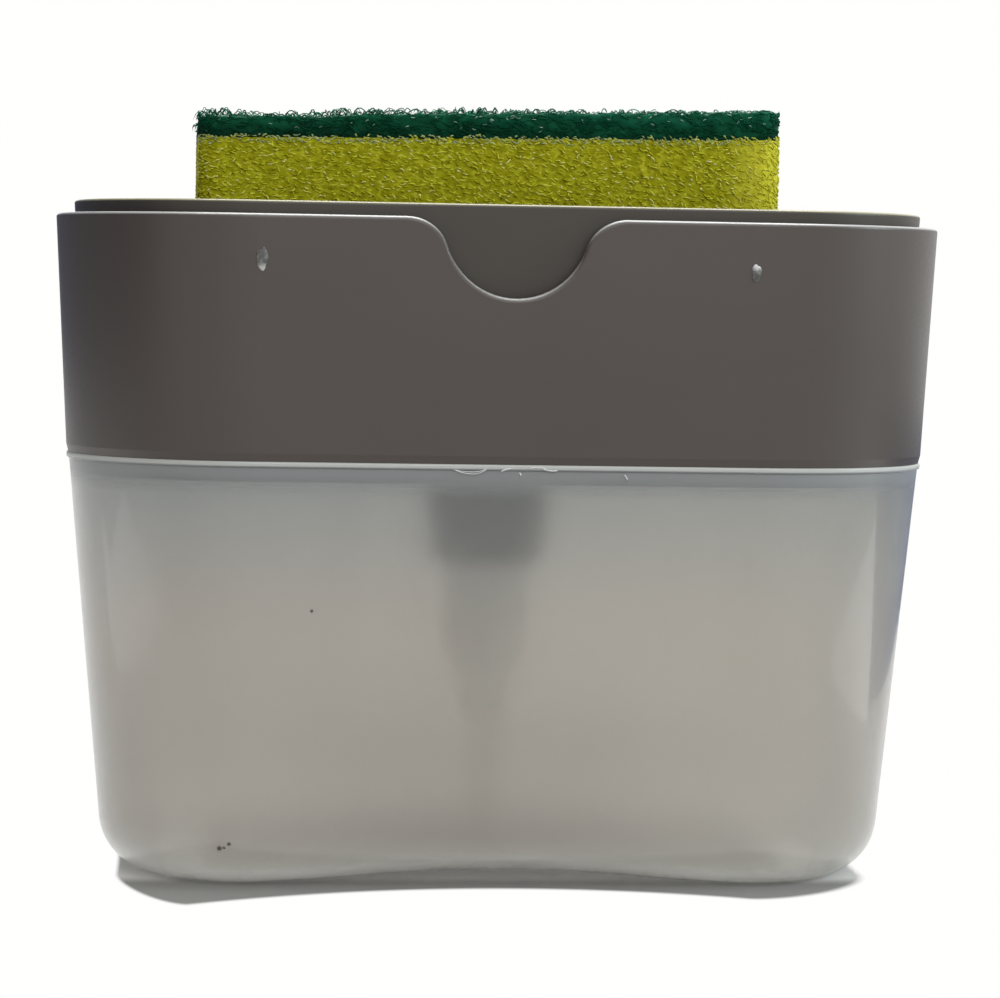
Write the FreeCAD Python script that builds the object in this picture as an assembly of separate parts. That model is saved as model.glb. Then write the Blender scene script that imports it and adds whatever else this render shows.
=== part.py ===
"""Press-top soap caddy: a tapered reservoir, a notched housing, a sponge tray on a piston pump.

Pressing the sponge and its tray down strokes the pump, which lifts soap through the tray's floor.
The origin is at the centre of the base, on the surface it stands on. +Z is up and -Y is the front,
where the housing has its finger notch. All lengths are millimetres.
"""

import FreeCAD
import Part
import math
import os
from collections import namedtuple

Vector = FreeCAD.Vector
Outline = namedtuple("Outline", "half_width half_depth corner")

# General values
CUT_OVERRUN = 2.0
MATCH_GAP = 0.01
FULL_TURN = 360.0

# Sponge: a foam block with a scouring pad bonded on top
SPONGE_WIDTH = 86.3
SPONGE_DEPTH = 66.0
SPONGE_CORNER = 3.0
FOAM_THICKNESS = 20.0
PAD_THICKNESS = 4.4
PAD_EDGE_ROUND = 1.2
SPONGE_SHIFT_X = -3.1
SPONGE_SHIFT_Y = -1.0

# Outline that the reservoir's lip and the housing's foot share at their seam, with room round the sponge
SPONGE_ROOM_X = 45.1
SPONGE_ROOM_Y = 18.2
SEAM_WIDTH = SPONGE_WIDTH + SPONGE_ROOM_X
SEAM_DEPTH = SPONGE_DEPTH + SPONGE_ROOM_Y
SEAM_CORNER = 28.0

# Reservoir: a tapered tub whose underside is arched between two end lands
RESERVOIR_HEIGHT = 64.0
RESERVOIR_TAPER_DEG = 5.3
RESERVOIR_WALL = 1.6
RESERVOIR_FLOOR = 1.6
BASE_ROUND = 9.0
ARCH_HALF_SPAN = 44.0
ARCH_RISE = 2.1
LIP_HEIGHT = 0.9
LIP_REACH = 0.3
LIP_ROUND = 0.3

# Housing: a tapered collar with a deck that carries the pump
HOUSING_TAPER_DEG = 3.0
HOUSING_WALL = 1.6
DECK_THICKNESS = 2.0
DECK_ROUND = 2.0
FOOT_BEVEL_HEIGHT = 1.2
FOOT_BEVEL_DEPTH = 0.25
RIM_ROUND = 0.6
RIM_INNER_ROUND = 0.4
NOTCH_HALF_WIDTH = 16.1
NOTCH_DEPTH = 11.7
NOTCH_BOTTOM_RADIUS = 10.6
PLUG_DEPTH = 3.0
PLUG_WALL = 1.4
PLUG_CLEARANCE = 0.3
DECK_RIB_COUNT = 6
DECK_RIB_THICKNESS = 1.2
DECK_RIB_DEPTH = 2.2
DECK_RIB_NUT_GAP = 2.0

# Pump: cylinder, nut, gasket and stem guide
BORE_RADIUS = 5.0
CYLINDER_WALL = 1.3
NECK_RADIUS = 7.0
NECK_HOLE_CLEARANCE = 0.3
PUMP_FLANGE_RADIUS = 10.0
PUMP_FLANGE_THICKNESS = 1.4
GASKET_THICKNESS = 0.8
GASKET_INSET = 0.2
NUT_HEIGHT = 17.2
NUT_TOP_RADIUS = 10.0
NUT_END_RADIUS = 8.7
NUT_END_THICKNESS = 1.5
NUT_END_ROUND = 0.8
NUT_THREAD_CLEARANCE = 0.15
NUT_END_GAP = 1.0
NUT_GROOVE_COUNT = 24
NUT_GROOVE_RADIUS = 0.7
NUT_GROOVE_DEPTH = 0.45
GUIDE_FLANGE_RADIUS = 8.0
GUIDE_FLANGE_THICKNESS = 1.2
GUIDE_PLUG_RADIUS = 5.75
GUIDE_PLUG_LENGTH = 8.0
GUIDE_FIT = 0.05
WIPER_HEIGHT = 1.0
WIPER_WIDTH = 1.3

# Pump: stem, piston and the tray's seat on the stem
PRESS_TRAVEL = 10.0
STEM_RADIUS = 3.2
STEM_BORE_RADIUS = 1.4
STEM_FIT = 0.05
STEM_ENGAGEMENT = 4.5
BOSS_WALL = 2.3
BOSS_CLEARANCE = 1.1
PISTON_LENGTH = 6.0
PISTON_STOP_GAP = 0.2
PISTON_EDGE_CLEARANCE = 0.35
PISTON_FLANGE = 1.2
PISTON_SOCKET_DEPTH = 4.0
SEAL_GROOVE_WALL = 0.75
SEAL_FIT = 0.05
SEAL_BORE_CLEARANCE = 0.03
SEAL_LIP_SHARE = 0.3

# Pump: return spring, inlet valve and dip tube
SPRING_LENGTH = 19.8
SPRING_MEAN_RADIUS = 3.9
SPRING_WIRE = 0.8
SPRING_TURNS = 7
CAGE_FLANGE_THICKNESS = 1.2
CAGE_FIT = 0.1
CAGE_HAT_RADIUS = 3.1
CAGE_HAT_WALL = 0.55
CAGE_HAT_TOP = 0.8
CAGE_WINDOW_WIDTH = 1.6
CAGE_WINDOW_COUNT = 3
INLET_BALL_RADIUS = 2.0
INLET_BALL_LIFT = 1.2
BALL_CLEARANCE = 0.1
SEAT_MOUTH_RADIUS = 2.5
SEAT_DEPTH = 2.5
INLET_RADIUS = 1.4
INLET_LENGTH = 2.0
TUBE_RADIUS = 2.5
TUBE_WALL = 0.85
TUBE_FIT = 0.04
TUBE_SOCKET_DEPTH = 5.5
TUBE_SOCKET_WALL = 1.2
TUBE_FLOOR_GAP = 1.4
CYLINDER_CONE_HEIGHT = 3.0

# Pump: outlet valve and the bush in the tray's floor
OUTLET_BALL_RADIUS = 2.1
OUTLET_BALL_LIFT = 1.0
OUTLET_SEAT_DEPTH = 0.7
OUTLET_PASSAGE_CLEARANCE = 0.3
BUSH_SPIGOT_LENGTH = 1.3
BUSH_FIT = 0.05
BUSH_WALL = 0.8
BUSH_FLANGE_RADIUS = 5.5
BUSH_FLANGE_THICKNESS = 1.0
BUSH_GROOVE_COUNT = 4
BUSH_GROOVE_WIDTH = 1.2
BUSH_GROOVE_DEPTH = 0.5

# Tray: a dish with a skirt, sponge rests on its floor and a boss over the stem
TRAY_GAP = 1.1
TRAY_TAPER_DEG = 4.0
TRAY_WALL = 1.5
TRAY_DEPTH = 11.0
TRAY_PROUD = 2.0
TRAY_FLOOR = 1.6
TRAY_SKIRT = 3.9
TRAY_FLOOR_ROUND = 4.0
TRAY_RIM_ROUND = 0.5
WELL_RADIUS = 12.0
WELL_DEPTH = 0.6
REST_COUNT = 7
REST_PITCH = 9.5
REST_WIDTH = 1.4
REST_HEIGHT = 0.8
REST_HALF_LENGTH = 54.0
GUSSET_THICKNESS = 1.2
GUSSET_DEPTH = 3.0

# Slopes of the drafted walls
RESERVOIR_SLOPE = math.tan(math.radians(RESERVOIR_TAPER_DEG))
HOUSING_SLOPE = math.tan(math.radians(HOUSING_TAPER_DEG))
TRAY_SLOPE = math.tan(math.radians(TRAY_TAPER_DEG))

# Heights, built up from the seam
SEAM_Z = RESERVOIR_HEIGHT
DECK_TOP_Z = SEAM_Z + DECK_THICKNESS
FLANGE_Z = DECK_TOP_Z + GASKET_THICKNESS
FLANGE_TOP_Z = FLANGE_Z + PUMP_FLANGE_THICKNESS
GUIDE_TOP_Z = FLANGE_TOP_Z + GUIDE_FLANGE_THICKNESS
BOSS_Z = GUIDE_TOP_Z + PRESS_TRAVEL + BOSS_CLEARANCE
STEM_TOP_Z = BOSS_Z + STEM_ENGAGEMENT
OUTLET_APEX_Z = STEM_TOP_Z - OUTLET_SEAT_DEPTH - STEM_BORE_RADIUS
OUTLET_BALL_Z = OUTLET_APEX_Z + OUTLET_BALL_RADIUS * math.sqrt(2) + MATCH_GAP
SPIGOT_Z = OUTLET_BALL_Z + OUTLET_BALL_RADIUS + OUTLET_BALL_LIFT + BALL_CLEARANCE
WELL_Z = SPIGOT_Z + BUSH_SPIGOT_LENGTH
TRAY_FLOOR_Z = WELL_Z + WELL_DEPTH
TRAY_RIM_Z = TRAY_FLOOR_Z + TRAY_DEPTH
TRAY_UNDER_Z = TRAY_FLOOR_Z - TRAY_FLOOR
TRAY_FOOT_Z = TRAY_UNDER_Z - TRAY_SKIRT
RIM_Z = TRAY_RIM_Z - TRAY_PROUD
SPONGE_Z = TRAY_FLOOR_Z + REST_HEIGHT

# Heights, built down from the pump's flange
NUT_Z = SEAM_Z - NUT_HEIGHT
NECK_Z = NUT_Z + NUT_END_THICKNESS + NUT_END_GAP
GUIDE_Z = FLANGE_TOP_Z - GUIDE_PLUG_LENGTH
PISTON_TOP_Z = GUIDE_Z - PISTON_STOP_GAP
PISTON_Z = PISTON_TOP_Z - PISTON_LENGTH
STEM_Z = PISTON_TOP_Z - PISTON_SOCKET_DEPTH
SPRING_Z = PISTON_Z - SPRING_LENGTH
BORE_FLOOR_Z = SPRING_Z - CAGE_FLANGE_THICKNESS
SEAT_Z = BORE_FLOOR_Z - SEAT_DEPTH
SOCKET_TOP_Z = SEAT_Z - INLET_LENGTH
CYLINDER_Z = SOCKET_TOP_Z - TUBE_SOCKET_DEPTH
TUBE_Z = ARCH_RISE + RESERVOIR_FLOOR + TUBE_FLOOR_GAP

# Radii that follow from what they fit
CYLINDER_RADIUS = BORE_RADIUS + CYLINDER_WALL
SOCKET_RADIUS = TUBE_RADIUS + TUBE_SOCKET_WALL
PASSAGE_RADIUS = OUTLET_BALL_RADIUS + OUTLET_PASSAGE_CLEARANCE
BOSS_BORE_RADIUS = STEM_RADIUS + STEM_FIT
BOSS_RADIUS = BOSS_BORE_RADIUS + BOSS_WALL
PISTON_RADIUS = BORE_RADIUS - PISTON_EDGE_CLEARANCE
SEAL_GROOVE_RADIUS = STEM_RADIUS + SEAL_GROOVE_WALL

# Inlet ball resting on its conical seat
SEAT_HALF_ANGLE = math.atan((SEAT_MOUTH_RADIUS - INLET_RADIUS) / SEAT_DEPTH)
SEAT_APEX_Z = SEAT_Z - INLET_RADIUS / math.tan(SEAT_HALF_ANGLE)
INLET_BALL_Z = SEAT_APEX_Z + INLET_BALL_RADIUS / math.sin(SEAT_HALF_ANGLE) + MATCH_GAP

SEAM = Outline(SEAM_WIDTH / 2, SEAM_DEPTH / 2, SEAM_CORNER)


def inset(outline, amount):
    """The outline moved inwards by amount, or outwards where amount is negative."""
    return Outline(*(size - amount for size in outline))


def reservoir_outline(z, amount=0):
    """Outside of the reservoir's wall at height z, moved inwards by amount."""
    return inset(SEAM, LIP_REACH + (SEAM_Z - z) * RESERVOIR_SLOPE + amount)


def housing_outline(z, amount=0):
    """Outside of the housing's wall at height z, moved inwards by amount."""
    return inset(SEAM, (SEAM_Z - z) * HOUSING_SLOPE + amount)


def tray_outline(z, amount=0):
    """Outside of the tray's wall at height z, moved inwards by amount."""
    drop = (TRAY_RIM_Z - z) * TRAY_SLOPE
    return inset(housing_outline(RIM_Z, HOUSING_WALL + TRAY_GAP), drop + amount)


def beyond(outline, point):
    """How far a point lies outside the outline, seen from above. Negative is inside."""
    along = abs(point.x) - (outline.half_width - outline.corner)
    across = abs(point.y) - (outline.half_depth - outline.corner)
    return math.hypot(max(along, 0), max(across, 0)) + min(max(along, across), 0) - outline.corner


def outline_wire(outline, z, shift_x=0, shift_y=0):
    """A rounded rectangle of four lines and four arcs at height z."""
    straight_x = outline.half_width - outline.corner
    straight_y = outline.half_depth - outline.corner
    edges = []
    corners = [(1, -1), (1, 1), (-1, 1), (-1, -1)]
    ends = []
    for quarter, (side_x, side_y) in enumerate(corners):
        centre = Vector(side_x * straight_x + shift_x, side_y * straight_y + shift_y, z)
        turn = math.radians(90 * (quarter - 1))
        points = [centre + outline.corner * Vector(math.cos(turn + part), math.sin(turn + part), 0)
                  for part in (0, math.pi / 4, math.pi / 2)]
        ends.append((points[0], points[2]))
        edges.append(Part.Arc(*points).toShape())
    for quarter in range(len(corners)):
        following = ends[(quarter + 1) % len(corners)]
        edges.append(Part.makeLine(ends[quarter][1], following[0]))
    return Part.Wire(Part.__sortEdges__(edges))


def drafted(*levels):
    """A solid whose walls run straight between outlines, given as (outline, z) from low to high."""
    return Part.makeLoft([outline_wire(outline, z) for outline, z in levels], True, True)


def block(outline, low, high, shift_x=0, shift_y=0):
    """An upright solid of one outline."""
    face = Part.Face(outline_wire(outline, low, shift_x, shift_y))
    return face.extrude(Vector(0, 0, high - low))


def cylinder(radius, low, high, x=0, y=0):
    """An upright cylinder between two heights."""
    return Part.makeCylinder(radius, high - low, Vector(x, y, low))


def tube(outer, inner, low, high):
    """An upright tube between two heights."""
    return cylinder(outer, low, high).cut(cylinder(inner, low - CUT_OVERRUN, high + CUT_OVERRUN))


def turned(points):
    """A solid of revolution about Z from (radius, z) points."""
    corners = [Vector(radius, 0, z) for radius, z in points]
    face = Part.Face(Part.makePolygon(corners + corners[:1]))
    return face.revolve(Vector(0, 0, 0), Vector(0, 0, 1), FULL_TURN)


def bar(size_x, size_y, low, high, x=0, y=0):
    """An upright box centred on x and y."""
    corner = Vector(x - size_x / 2, y - size_y / 2, low)
    return Part.makeBox(size_x, size_y, high - low, corner)


def around(shape, count, start_deg=0):
    """Copies of a shape, spaced evenly about Z, as a list."""
    copies = []
    for number in range(count):
        copy = shape.copy()
        copy.rotate(Vector(0, 0, 0), Vector(0, 0, 1), start_deg + FULL_TURN * number / count)
        copies.append(copy)
    return copies


def arch_prism(lift):
    """Everything above the arched underside raised by lift, as a prism along Y.

    The underside is a crown arc between two blend arcs, which meet the end lands tangentially.
    """
    radius = (ARCH_HALF_SPAN ** 2 + ARCH_RISE ** 2) / (4 * ARCH_RISE)
    crown_centre = Vector(0, 0, ARCH_RISE - radius)
    blend_centre = Vector(ARCH_HALF_SPAN, 0, radius)
    towards_blend = (blend_centre - crown_centre).normalize()
    inflection = crown_centre + (radius + lift) * towards_blend
    halfway = (Vector(0, 0, -1) - towards_blend).normalize()
    blend_middle = blend_centre + (radius - lift) * halfway
    land_end = Vector(ARCH_HALF_SPAN, 0, lift)
    far_x = SEAM_WIDTH
    far_y = SEAM_DEPTH
    top_z = SEAM_Z + CUT_OVERRUN

    def mirrored(point):
        return Vector(-point.x, point.y, point.z)

    land_far = Vector(far_x, 0, lift)
    top_far = Vector(far_x, 0, top_z)
    crown = Vector(0, 0, ARCH_RISE + lift)
    edges = [
        Part.makeLine(mirrored(land_far), mirrored(land_end)),
        Part.Arc(mirrored(land_end), mirrored(blend_middle), mirrored(inflection)).toShape(),
        Part.Arc(mirrored(inflection), crown, inflection).toShape(),
        Part.Arc(inflection, blend_middle, land_end).toShape(),
        Part.makeLine(land_end, land_far),
        Part.makeLine(land_far, top_far),
        Part.makeLine(top_far, mirrored(top_far)),
        Part.makeLine(mirrored(top_far), mirrored(land_far)),
    ]
    face = Part.Face(Part.Wire(edges))
    face.translate(Vector(0, -far_y, 0))
    return face.extrude(Vector(0, 2 * far_y, 0))


def arched_tub(amount, lift, top_z, rounding):
    """The reservoir's tapered body moved inwards by amount, on the arch raised by lift."""
    low = lift - CUT_OVERRUN
    body = drafted((reservoir_outline(low, amount), low), (reservoir_outline(top_z, amount), top_z))
    body = body.common(arch_prism(lift))

    def on_foot(edge):
        box = edge.BoundBox
        crosses = box.XLength < MATCH_GAP and box.XMax < ARCH_HALF_SPAN + MATCH_GAP
        crosses = crosses and box.XMin > -ARCH_HALF_SPAN - MATCH_GAP
        return box.ZMax < lift + ARCH_RISE + MATCH_GAP and not crosses

    return body.makeFillet(rounding, [edge for edge in body.Edges if on_foot(edge)])


def make_reservoir():
    """Tub with a thin lip round its mouth, which the housing stands on."""
    outside = arched_tub(0, 0, SEAM_Z, BASE_ROUND)
    lip = block(SEAM, SEAM_Z - LIP_HEIGHT, SEAM_Z)
    lip = lip.makeFillet(LIP_ROUND, [e for e in lip.Edges if e.BoundBox.ZLength < MATCH_GAP])
    inner_round = BASE_ROUND - RESERVOIR_WALL
    cavity = arched_tub(RESERVOIR_WALL, RESERVOIR_FLOOR, SEAM_Z + CUT_OVERRUN, inner_round)
    return outside.fuse(lip).cut(cavity).removeSplitter()


def notch_tool():
    """Cutter for the finger notch: a hollow arc between two rounded shoulders."""
    radii = (NOTCH_HALF_WIDTH ** 2 + NOTCH_DEPTH ** 2) / (2 * NOTCH_DEPTH)
    shoulder_radius = radii - NOTCH_BOTTOM_RADIUS
    hollow_centre = Vector(0, 0, RIM_Z - NOTCH_DEPTH + NOTCH_BOTTOM_RADIUS)
    shoulder_centre = Vector(NOTCH_HALF_WIDTH, 0, RIM_Z - shoulder_radius)
    outwards = (shoulder_centre - hollow_centre).normalize()
    meeting = hollow_centre + NOTCH_BOTTOM_RADIUS * outwards
    halfway = (Vector(0, 0, 1) - outwards).normalize()
    shoulder_middle = shoulder_centre + shoulder_radius * halfway
    shoulder = Vector(NOTCH_HALF_WIDTH, 0, RIM_Z)
    above = Vector(NOTCH_HALF_WIDTH, 0, RIM_Z + CUT_OVERRUN)
    bottom = Vector(0, 0, RIM_Z - NOTCH_DEPTH)

    def mirrored(point):
        return Vector(-point.x, point.y, point.z)

    edges = [
        Part.makeLine(mirrored(above), mirrored(shoulder)),
        Part.Arc(mirrored(shoulder), mirrored(shoulder_middle), mirrored(meeting)).toShape(),
        Part.Arc(mirrored(meeting), bottom, meeting).toShape(),
        Part.Arc(meeting, shoulder_middle, shoulder).toShape(),
        Part.makeLine(shoulder, above),
        Part.makeLine(above, mirrored(above)),
    ]
    face = Part.Face(Part.Wire(edges))
    front = housing_outline(RIM_Z).half_depth + CUT_OVERRUN
    behind = housing_outline(RIM_Z - NOTCH_DEPTH, HOUSING_WALL + CUT_OVERRUN).half_depth
    face.translate(Vector(0, -front, 0))
    return face.extrude(Vector(0, front - behind, 0))


def rounded_housing_rim(shell):
    """The housing's shell with the edges of its rim and notch eased, outside and inside."""
    outer_edges = []
    inner_edges = []
    for edge in shell.Edges:
        box = edge.BoundBox
        crosses_wall = box.XLength < MATCH_GAP and box.ZLength < MATCH_GAP
        if box.ZMin < RIM_Z - NOTCH_DEPTH - MATCH_GAP or crosses_wall:
            continue
        middle = edge.valueAt((edge.FirstParameter + edge.LastParameter) / 2)
        outside = beyond(housing_outline(middle.z, HOUSING_WALL / 2), middle) > 0
        (outer_edges if outside else inner_edges).append(edge)
    eased = shell.makeFillet(RIM_ROUND, outer_edges)
    return eased.makeFillet(RIM_INNER_ROUND, matching_edges(eased, inner_edges))


def matching_edges(shape, wanted):
    """The edges of a shape that lie where the wanted edges lie."""
    centres = [edge.CenterOfMass for edge in wanted]
    return [edge for edge in shape.Edges
            if any((edge.CenterOfMass - centre).Length < MATCH_GAP for centre in centres)]


def make_housing():
    """Collar with a finger notch, a deck for the pump and a plug that enters the reservoir."""
    bevel_z = SEAM_Z + FOOT_BEVEL_HEIGHT
    shell = drafted(
        (housing_outline(SEAM_Z, FOOT_BEVEL_DEPTH), SEAM_Z),
        (housing_outline(bevel_z), bevel_z),
        (housing_outline(RIM_Z), RIM_Z),
    )
    top_z = RIM_Z + CUT_OVERRUN
    pocket = drafted((housing_outline(DECK_TOP_Z, HOUSING_WALL), DECK_TOP_Z),
                     (housing_outline(top_z, HOUSING_WALL), top_z))
    pocket = pocket.makeFillet(
        DECK_ROUND, [e for e in pocket.Edges if e.BoundBox.ZMax < DECK_TOP_Z + MATCH_GAP])
    shell = rounded_housing_rim(shell.cut(pocket).cut(notch_tool()))

    plug_z = SEAM_Z - PLUG_DEPTH
    plug_inset = RESERVOIR_WALL + PLUG_CLEARANCE
    plug = drafted((reservoir_outline(plug_z, plug_inset), plug_z),
                   (reservoir_outline(SEAM_Z, plug_inset), SEAM_Z))
    hollow_inset = plug_inset + PLUG_WALL
    low_z = plug_z - CUT_OVERRUN
    hollow = drafted((reservoir_outline(low_z, hollow_inset), low_z),
                     (reservoir_outline(SEAM_Z, hollow_inset), SEAM_Z))
    rib_start = NUT_TOP_RADIUS + DECK_RIB_NUT_GAP
    rib_length = SEAM.half_width
    rib = bar(rib_length, DECK_RIB_THICKNESS, SEAM_Z - DECK_RIB_DEPTH, SEAM_Z, rib_start + rib_length / 2)
    ribs = [copy.common(plug) for copy in around(rib, DECK_RIB_COUNT)]
    shell = shell.fuse([plug.cut(hollow)] + ribs)

    hole_radius = NECK_RADIUS + NECK_HOLE_CLEARANCE
    hole = cylinder(hole_radius, plug_z - CUT_OVERRUN, DECK_TOP_Z + CUT_OVERRUN)
    return shell.cut(hole).removeSplitter()


def make_tray():
    """Dish that carries the sponge, with a boss underneath that seats on the pump's stem."""
    body = drafted((tray_outline(TRAY_FOOT_Z), TRAY_FOOT_Z), (tray_outline(TRAY_RIM_Z), TRAY_RIM_Z))
    top_z = TRAY_RIM_Z + CUT_OVERRUN
    dish = drafted((tray_outline(TRAY_FLOOR_Z, TRAY_WALL), TRAY_FLOOR_Z),
                   (tray_outline(top_z, TRAY_WALL), top_z))
    dish = dish.makeFillet(
        TRAY_FLOOR_ROUND, [e for e in dish.Edges if e.BoundBox.ZMax < TRAY_FLOOR_Z + MATCH_GAP])
    low_z = TRAY_FOOT_Z - CUT_OVERRUN
    under = drafted((tray_outline(low_z, TRAY_WALL), low_z),
                    (tray_outline(TRAY_UNDER_Z, TRAY_WALL), TRAY_UNDER_Z))
    body = body.cut(dish).cut(under)
    rim_edges = [e for e in body.Edges if e.BoundBox.ZMin > TRAY_RIM_Z - MATCH_GAP]
    body = body.makeFillet(TRAY_RIM_ROUND, rim_edges)

    additions = [cylinder(BOSS_RADIUS, BOSS_Z, TRAY_UNDER_Z)]
    skirt_span = tray_outline(TRAY_UNDER_Z, TRAY_WALL / 2)
    gusset_z = TRAY_UNDER_Z - GUSSET_DEPTH
    gusset_room = drafted((tray_outline(gusset_z, TRAY_WALL / 2), gusset_z), (skirt_span, TRAY_UNDER_Z))
    long_gusset = bar(2 * skirt_span.half_width, GUSSET_THICKNESS, gusset_z, TRAY_UNDER_Z)
    cross_gusset = bar(GUSSET_THICKNESS, 2 * skirt_span.half_depth, gusset_z, TRAY_UNDER_Z)
    additions += [gusset.common(gusset_room) for gusset in (long_gusset, cross_gusset)]
    for number in range(REST_COUNT):
        y = (number - (REST_COUNT - 1) / 2) * REST_PITCH
        additions.append(sponge_rest(y).common(dish))
    body = body.fuse(additions)

    rest_top_z = SPONGE_Z + CUT_OVERRUN
    body = body.cut(cylinder(WELL_RADIUS, WELL_Z, rest_top_z))
    body = body.cut(cylinder(BOSS_BORE_RADIUS, BOSS_Z - CUT_OVERRUN, STEM_TOP_Z))
    return body.cut(cylinder(PASSAGE_RADIUS, STEM_TOP_Z, rest_top_z)).removeSplitter()


def sponge_rest(y):
    """One raised bar with round ends on the tray's floor."""
    half_straight = REST_HALF_LENGTH - REST_WIDTH / 2
    rest = bar(2 * half_straight, REST_WIDTH, TRAY_FLOOR_Z, SPONGE_Z, 0, y)
    ends = [cylinder(REST_WIDTH / 2, TRAY_FLOOR_Z, SPONGE_Z, side * half_straight, y) for side in (-1, 1)]
    return rest.fuse(ends)


def make_outlet_bush():
    """Flanged bush that keeps the outlet ball in and spreads the soap over the tray's floor."""
    spigot_radius = PASSAGE_RADIUS - BUSH_FIT
    hole_radius = spigot_radius - BUSH_WALL
    top_z = WELL_Z + BUSH_FLANGE_THICKNESS
    bush = turned([
        (hole_radius, SPIGOT_Z),
        (spigot_radius, SPIGOT_Z),
        (spigot_radius, WELL_Z),
        (BUSH_FLANGE_RADIUS, WELL_Z),
        (BUSH_FLANGE_RADIUS, top_z - BUSH_GROOVE_DEPTH),
        (BUSH_FLANGE_RADIUS - BUSH_GROOVE_DEPTH, top_z),
        (hole_radius, top_z),
    ])
    reach = BUSH_FLANGE_RADIUS + CUT_OVERRUN
    groove = bar(reach, BUSH_GROOVE_WIDTH, top_z - BUSH_GROOVE_DEPTH, top_z + CUT_OVERRUN, reach / 2)
    return bush.cut(around(groove, BUSH_GROOVE_COUNT))


def make_pump_cylinder():
    """Pump body: flange, threaded neck, piston bore, inlet seat and dip tube socket."""
    cone_z = SOCKET_TOP_Z + CYLINDER_CONE_HEIGHT
    counterbore_radius = GUIDE_PLUG_RADIUS + GUIDE_FIT
    counterbore_z = GUIDE_Z - MATCH_GAP
    return turned([
        (TUBE_RADIUS, CYLINDER_Z),
        (SOCKET_RADIUS, CYLINDER_Z),
        (SOCKET_RADIUS, SOCKET_TOP_Z),
        (CYLINDER_RADIUS, cone_z),
        (CYLINDER_RADIUS, NECK_Z),
        (NECK_RADIUS, NECK_Z),
        (NECK_RADIUS, FLANGE_Z),
        (PUMP_FLANGE_RADIUS, FLANGE_Z),
        (PUMP_FLANGE_RADIUS, FLANGE_TOP_Z),
        (counterbore_radius, FLANGE_TOP_Z),
        (counterbore_radius, counterbore_z),
        (BORE_RADIUS, counterbore_z),
        (BORE_RADIUS, BORE_FLOOR_Z),
        (SEAT_MOUTH_RADIUS, BORE_FLOOR_Z),
        (INLET_RADIUS, SEAT_Z),
        (INLET_RADIUS, SOCKET_TOP_Z),
        (TUBE_RADIUS, SOCKET_TOP_Z),
    ])


def make_pump_nut():
    """Closure nut under the deck: an upturned drafted cap with grip grooves."""
    thread_radius = NECK_RADIUS + NUT_THREAD_CLEARANCE
    end_hole_radius = CYLINDER_RADIUS + NECK_HOLE_CLEARANCE
    nut = turned([
        (end_hole_radius, NUT_Z),
        (NUT_END_RADIUS - NUT_END_ROUND, NUT_Z),
        (NUT_END_RADIUS, NUT_Z + NUT_END_ROUND),
        (NUT_TOP_RADIUS, SEAM_Z),
        (thread_radius, SEAM_Z),
        (thread_radius, NUT_Z + NUT_END_THICKNESS),
        (end_hole_radius, NUT_Z + NUT_END_THICKNESS),
    ])
    groove_reach = NUT_TOP_RADIUS + NUT_GROOVE_RADIUS - NUT_GROOVE_DEPTH
    groove = cylinder(NUT_GROOVE_RADIUS, NUT_Z - CUT_OVERRUN, SEAM_Z + CUT_OVERRUN, groove_reach)
    return nut.cut(around(groove, NUT_GROOVE_COUNT))


def make_pump_gasket():
    """Flat ring between the deck and the pump's flange."""
    inner = NECK_RADIUS + GASKET_INSET
    return tube(PUMP_FLANGE_RADIUS - GASKET_INSET, inner, DECK_TOP_Z, FLANGE_Z)


def make_stem_guide():
    """Flanged sleeve in the pump's mouth that guides the stem and stops the piston."""
    bore = STEM_RADIUS + STEM_FIT
    wiper_radius = bore + WIPER_WIDTH
    wiper_z = GUIDE_TOP_Z - WIPER_HEIGHT
    return turned([
        (bore, GUIDE_Z),
        (GUIDE_PLUG_RADIUS, GUIDE_Z),
        (GUIDE_PLUG_RADIUS, FLANGE_TOP_Z),
        (GUIDE_FLANGE_RADIUS, FLANGE_TOP_Z),
        (GUIDE_FLANGE_RADIUS, GUIDE_TOP_Z),
        (wiper_radius, GUIDE_TOP_Z),
        (wiper_radius, wiper_z),
        (bore, wiper_z),
    ])


def make_stem_wiper():
    """Soft ring in the guide's top recess that keeps water off the pump's bore."""
    bore = STEM_RADIUS + STEM_FIT
    wiper_z = GUIDE_TOP_Z - WIPER_HEIGHT
    return tube(bore + WIPER_WIDTH - STEM_FIT, bore, wiper_z, GUIDE_TOP_Z)


def make_stem():
    """Hollow stem from the piston up into the tray's boss, with the outlet seat at its top."""
    seat_radius = STEM_BORE_RADIUS + OUTLET_SEAT_DEPTH
    return turned([
        (STEM_BORE_RADIUS, STEM_Z),
        (STEM_RADIUS, STEM_Z),
        (STEM_RADIUS, STEM_TOP_Z),
        (seat_radius, STEM_TOP_Z),
        (STEM_BORE_RADIUS, STEM_TOP_Z - OUTLET_SEAT_DEPTH),
    ])


def make_piston():
    """Piston head on the stem's foot, with a groove for the seal."""
    socket_radius = STEM_RADIUS + SEAL_FIT
    return turned([
        (STEM_BORE_RADIUS, PISTON_Z),
        (PISTON_RADIUS, PISTON_Z),
        (PISTON_RADIUS, PISTON_Z + PISTON_FLANGE),
        (SEAL_GROOVE_RADIUS, PISTON_Z + PISTON_FLANGE),
        (SEAL_GROOVE_RADIUS, PISTON_TOP_Z - PISTON_FLANGE),
        (PISTON_RADIUS, PISTON_TOP_Z - PISTON_FLANGE),
        (PISTON_RADIUS, PISTON_TOP_Z),
        (socket_radius, PISTON_TOP_Z),
        (socket_radius, STEM_Z),
        (STEM_BORE_RADIUS, STEM_Z),
    ])


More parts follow.
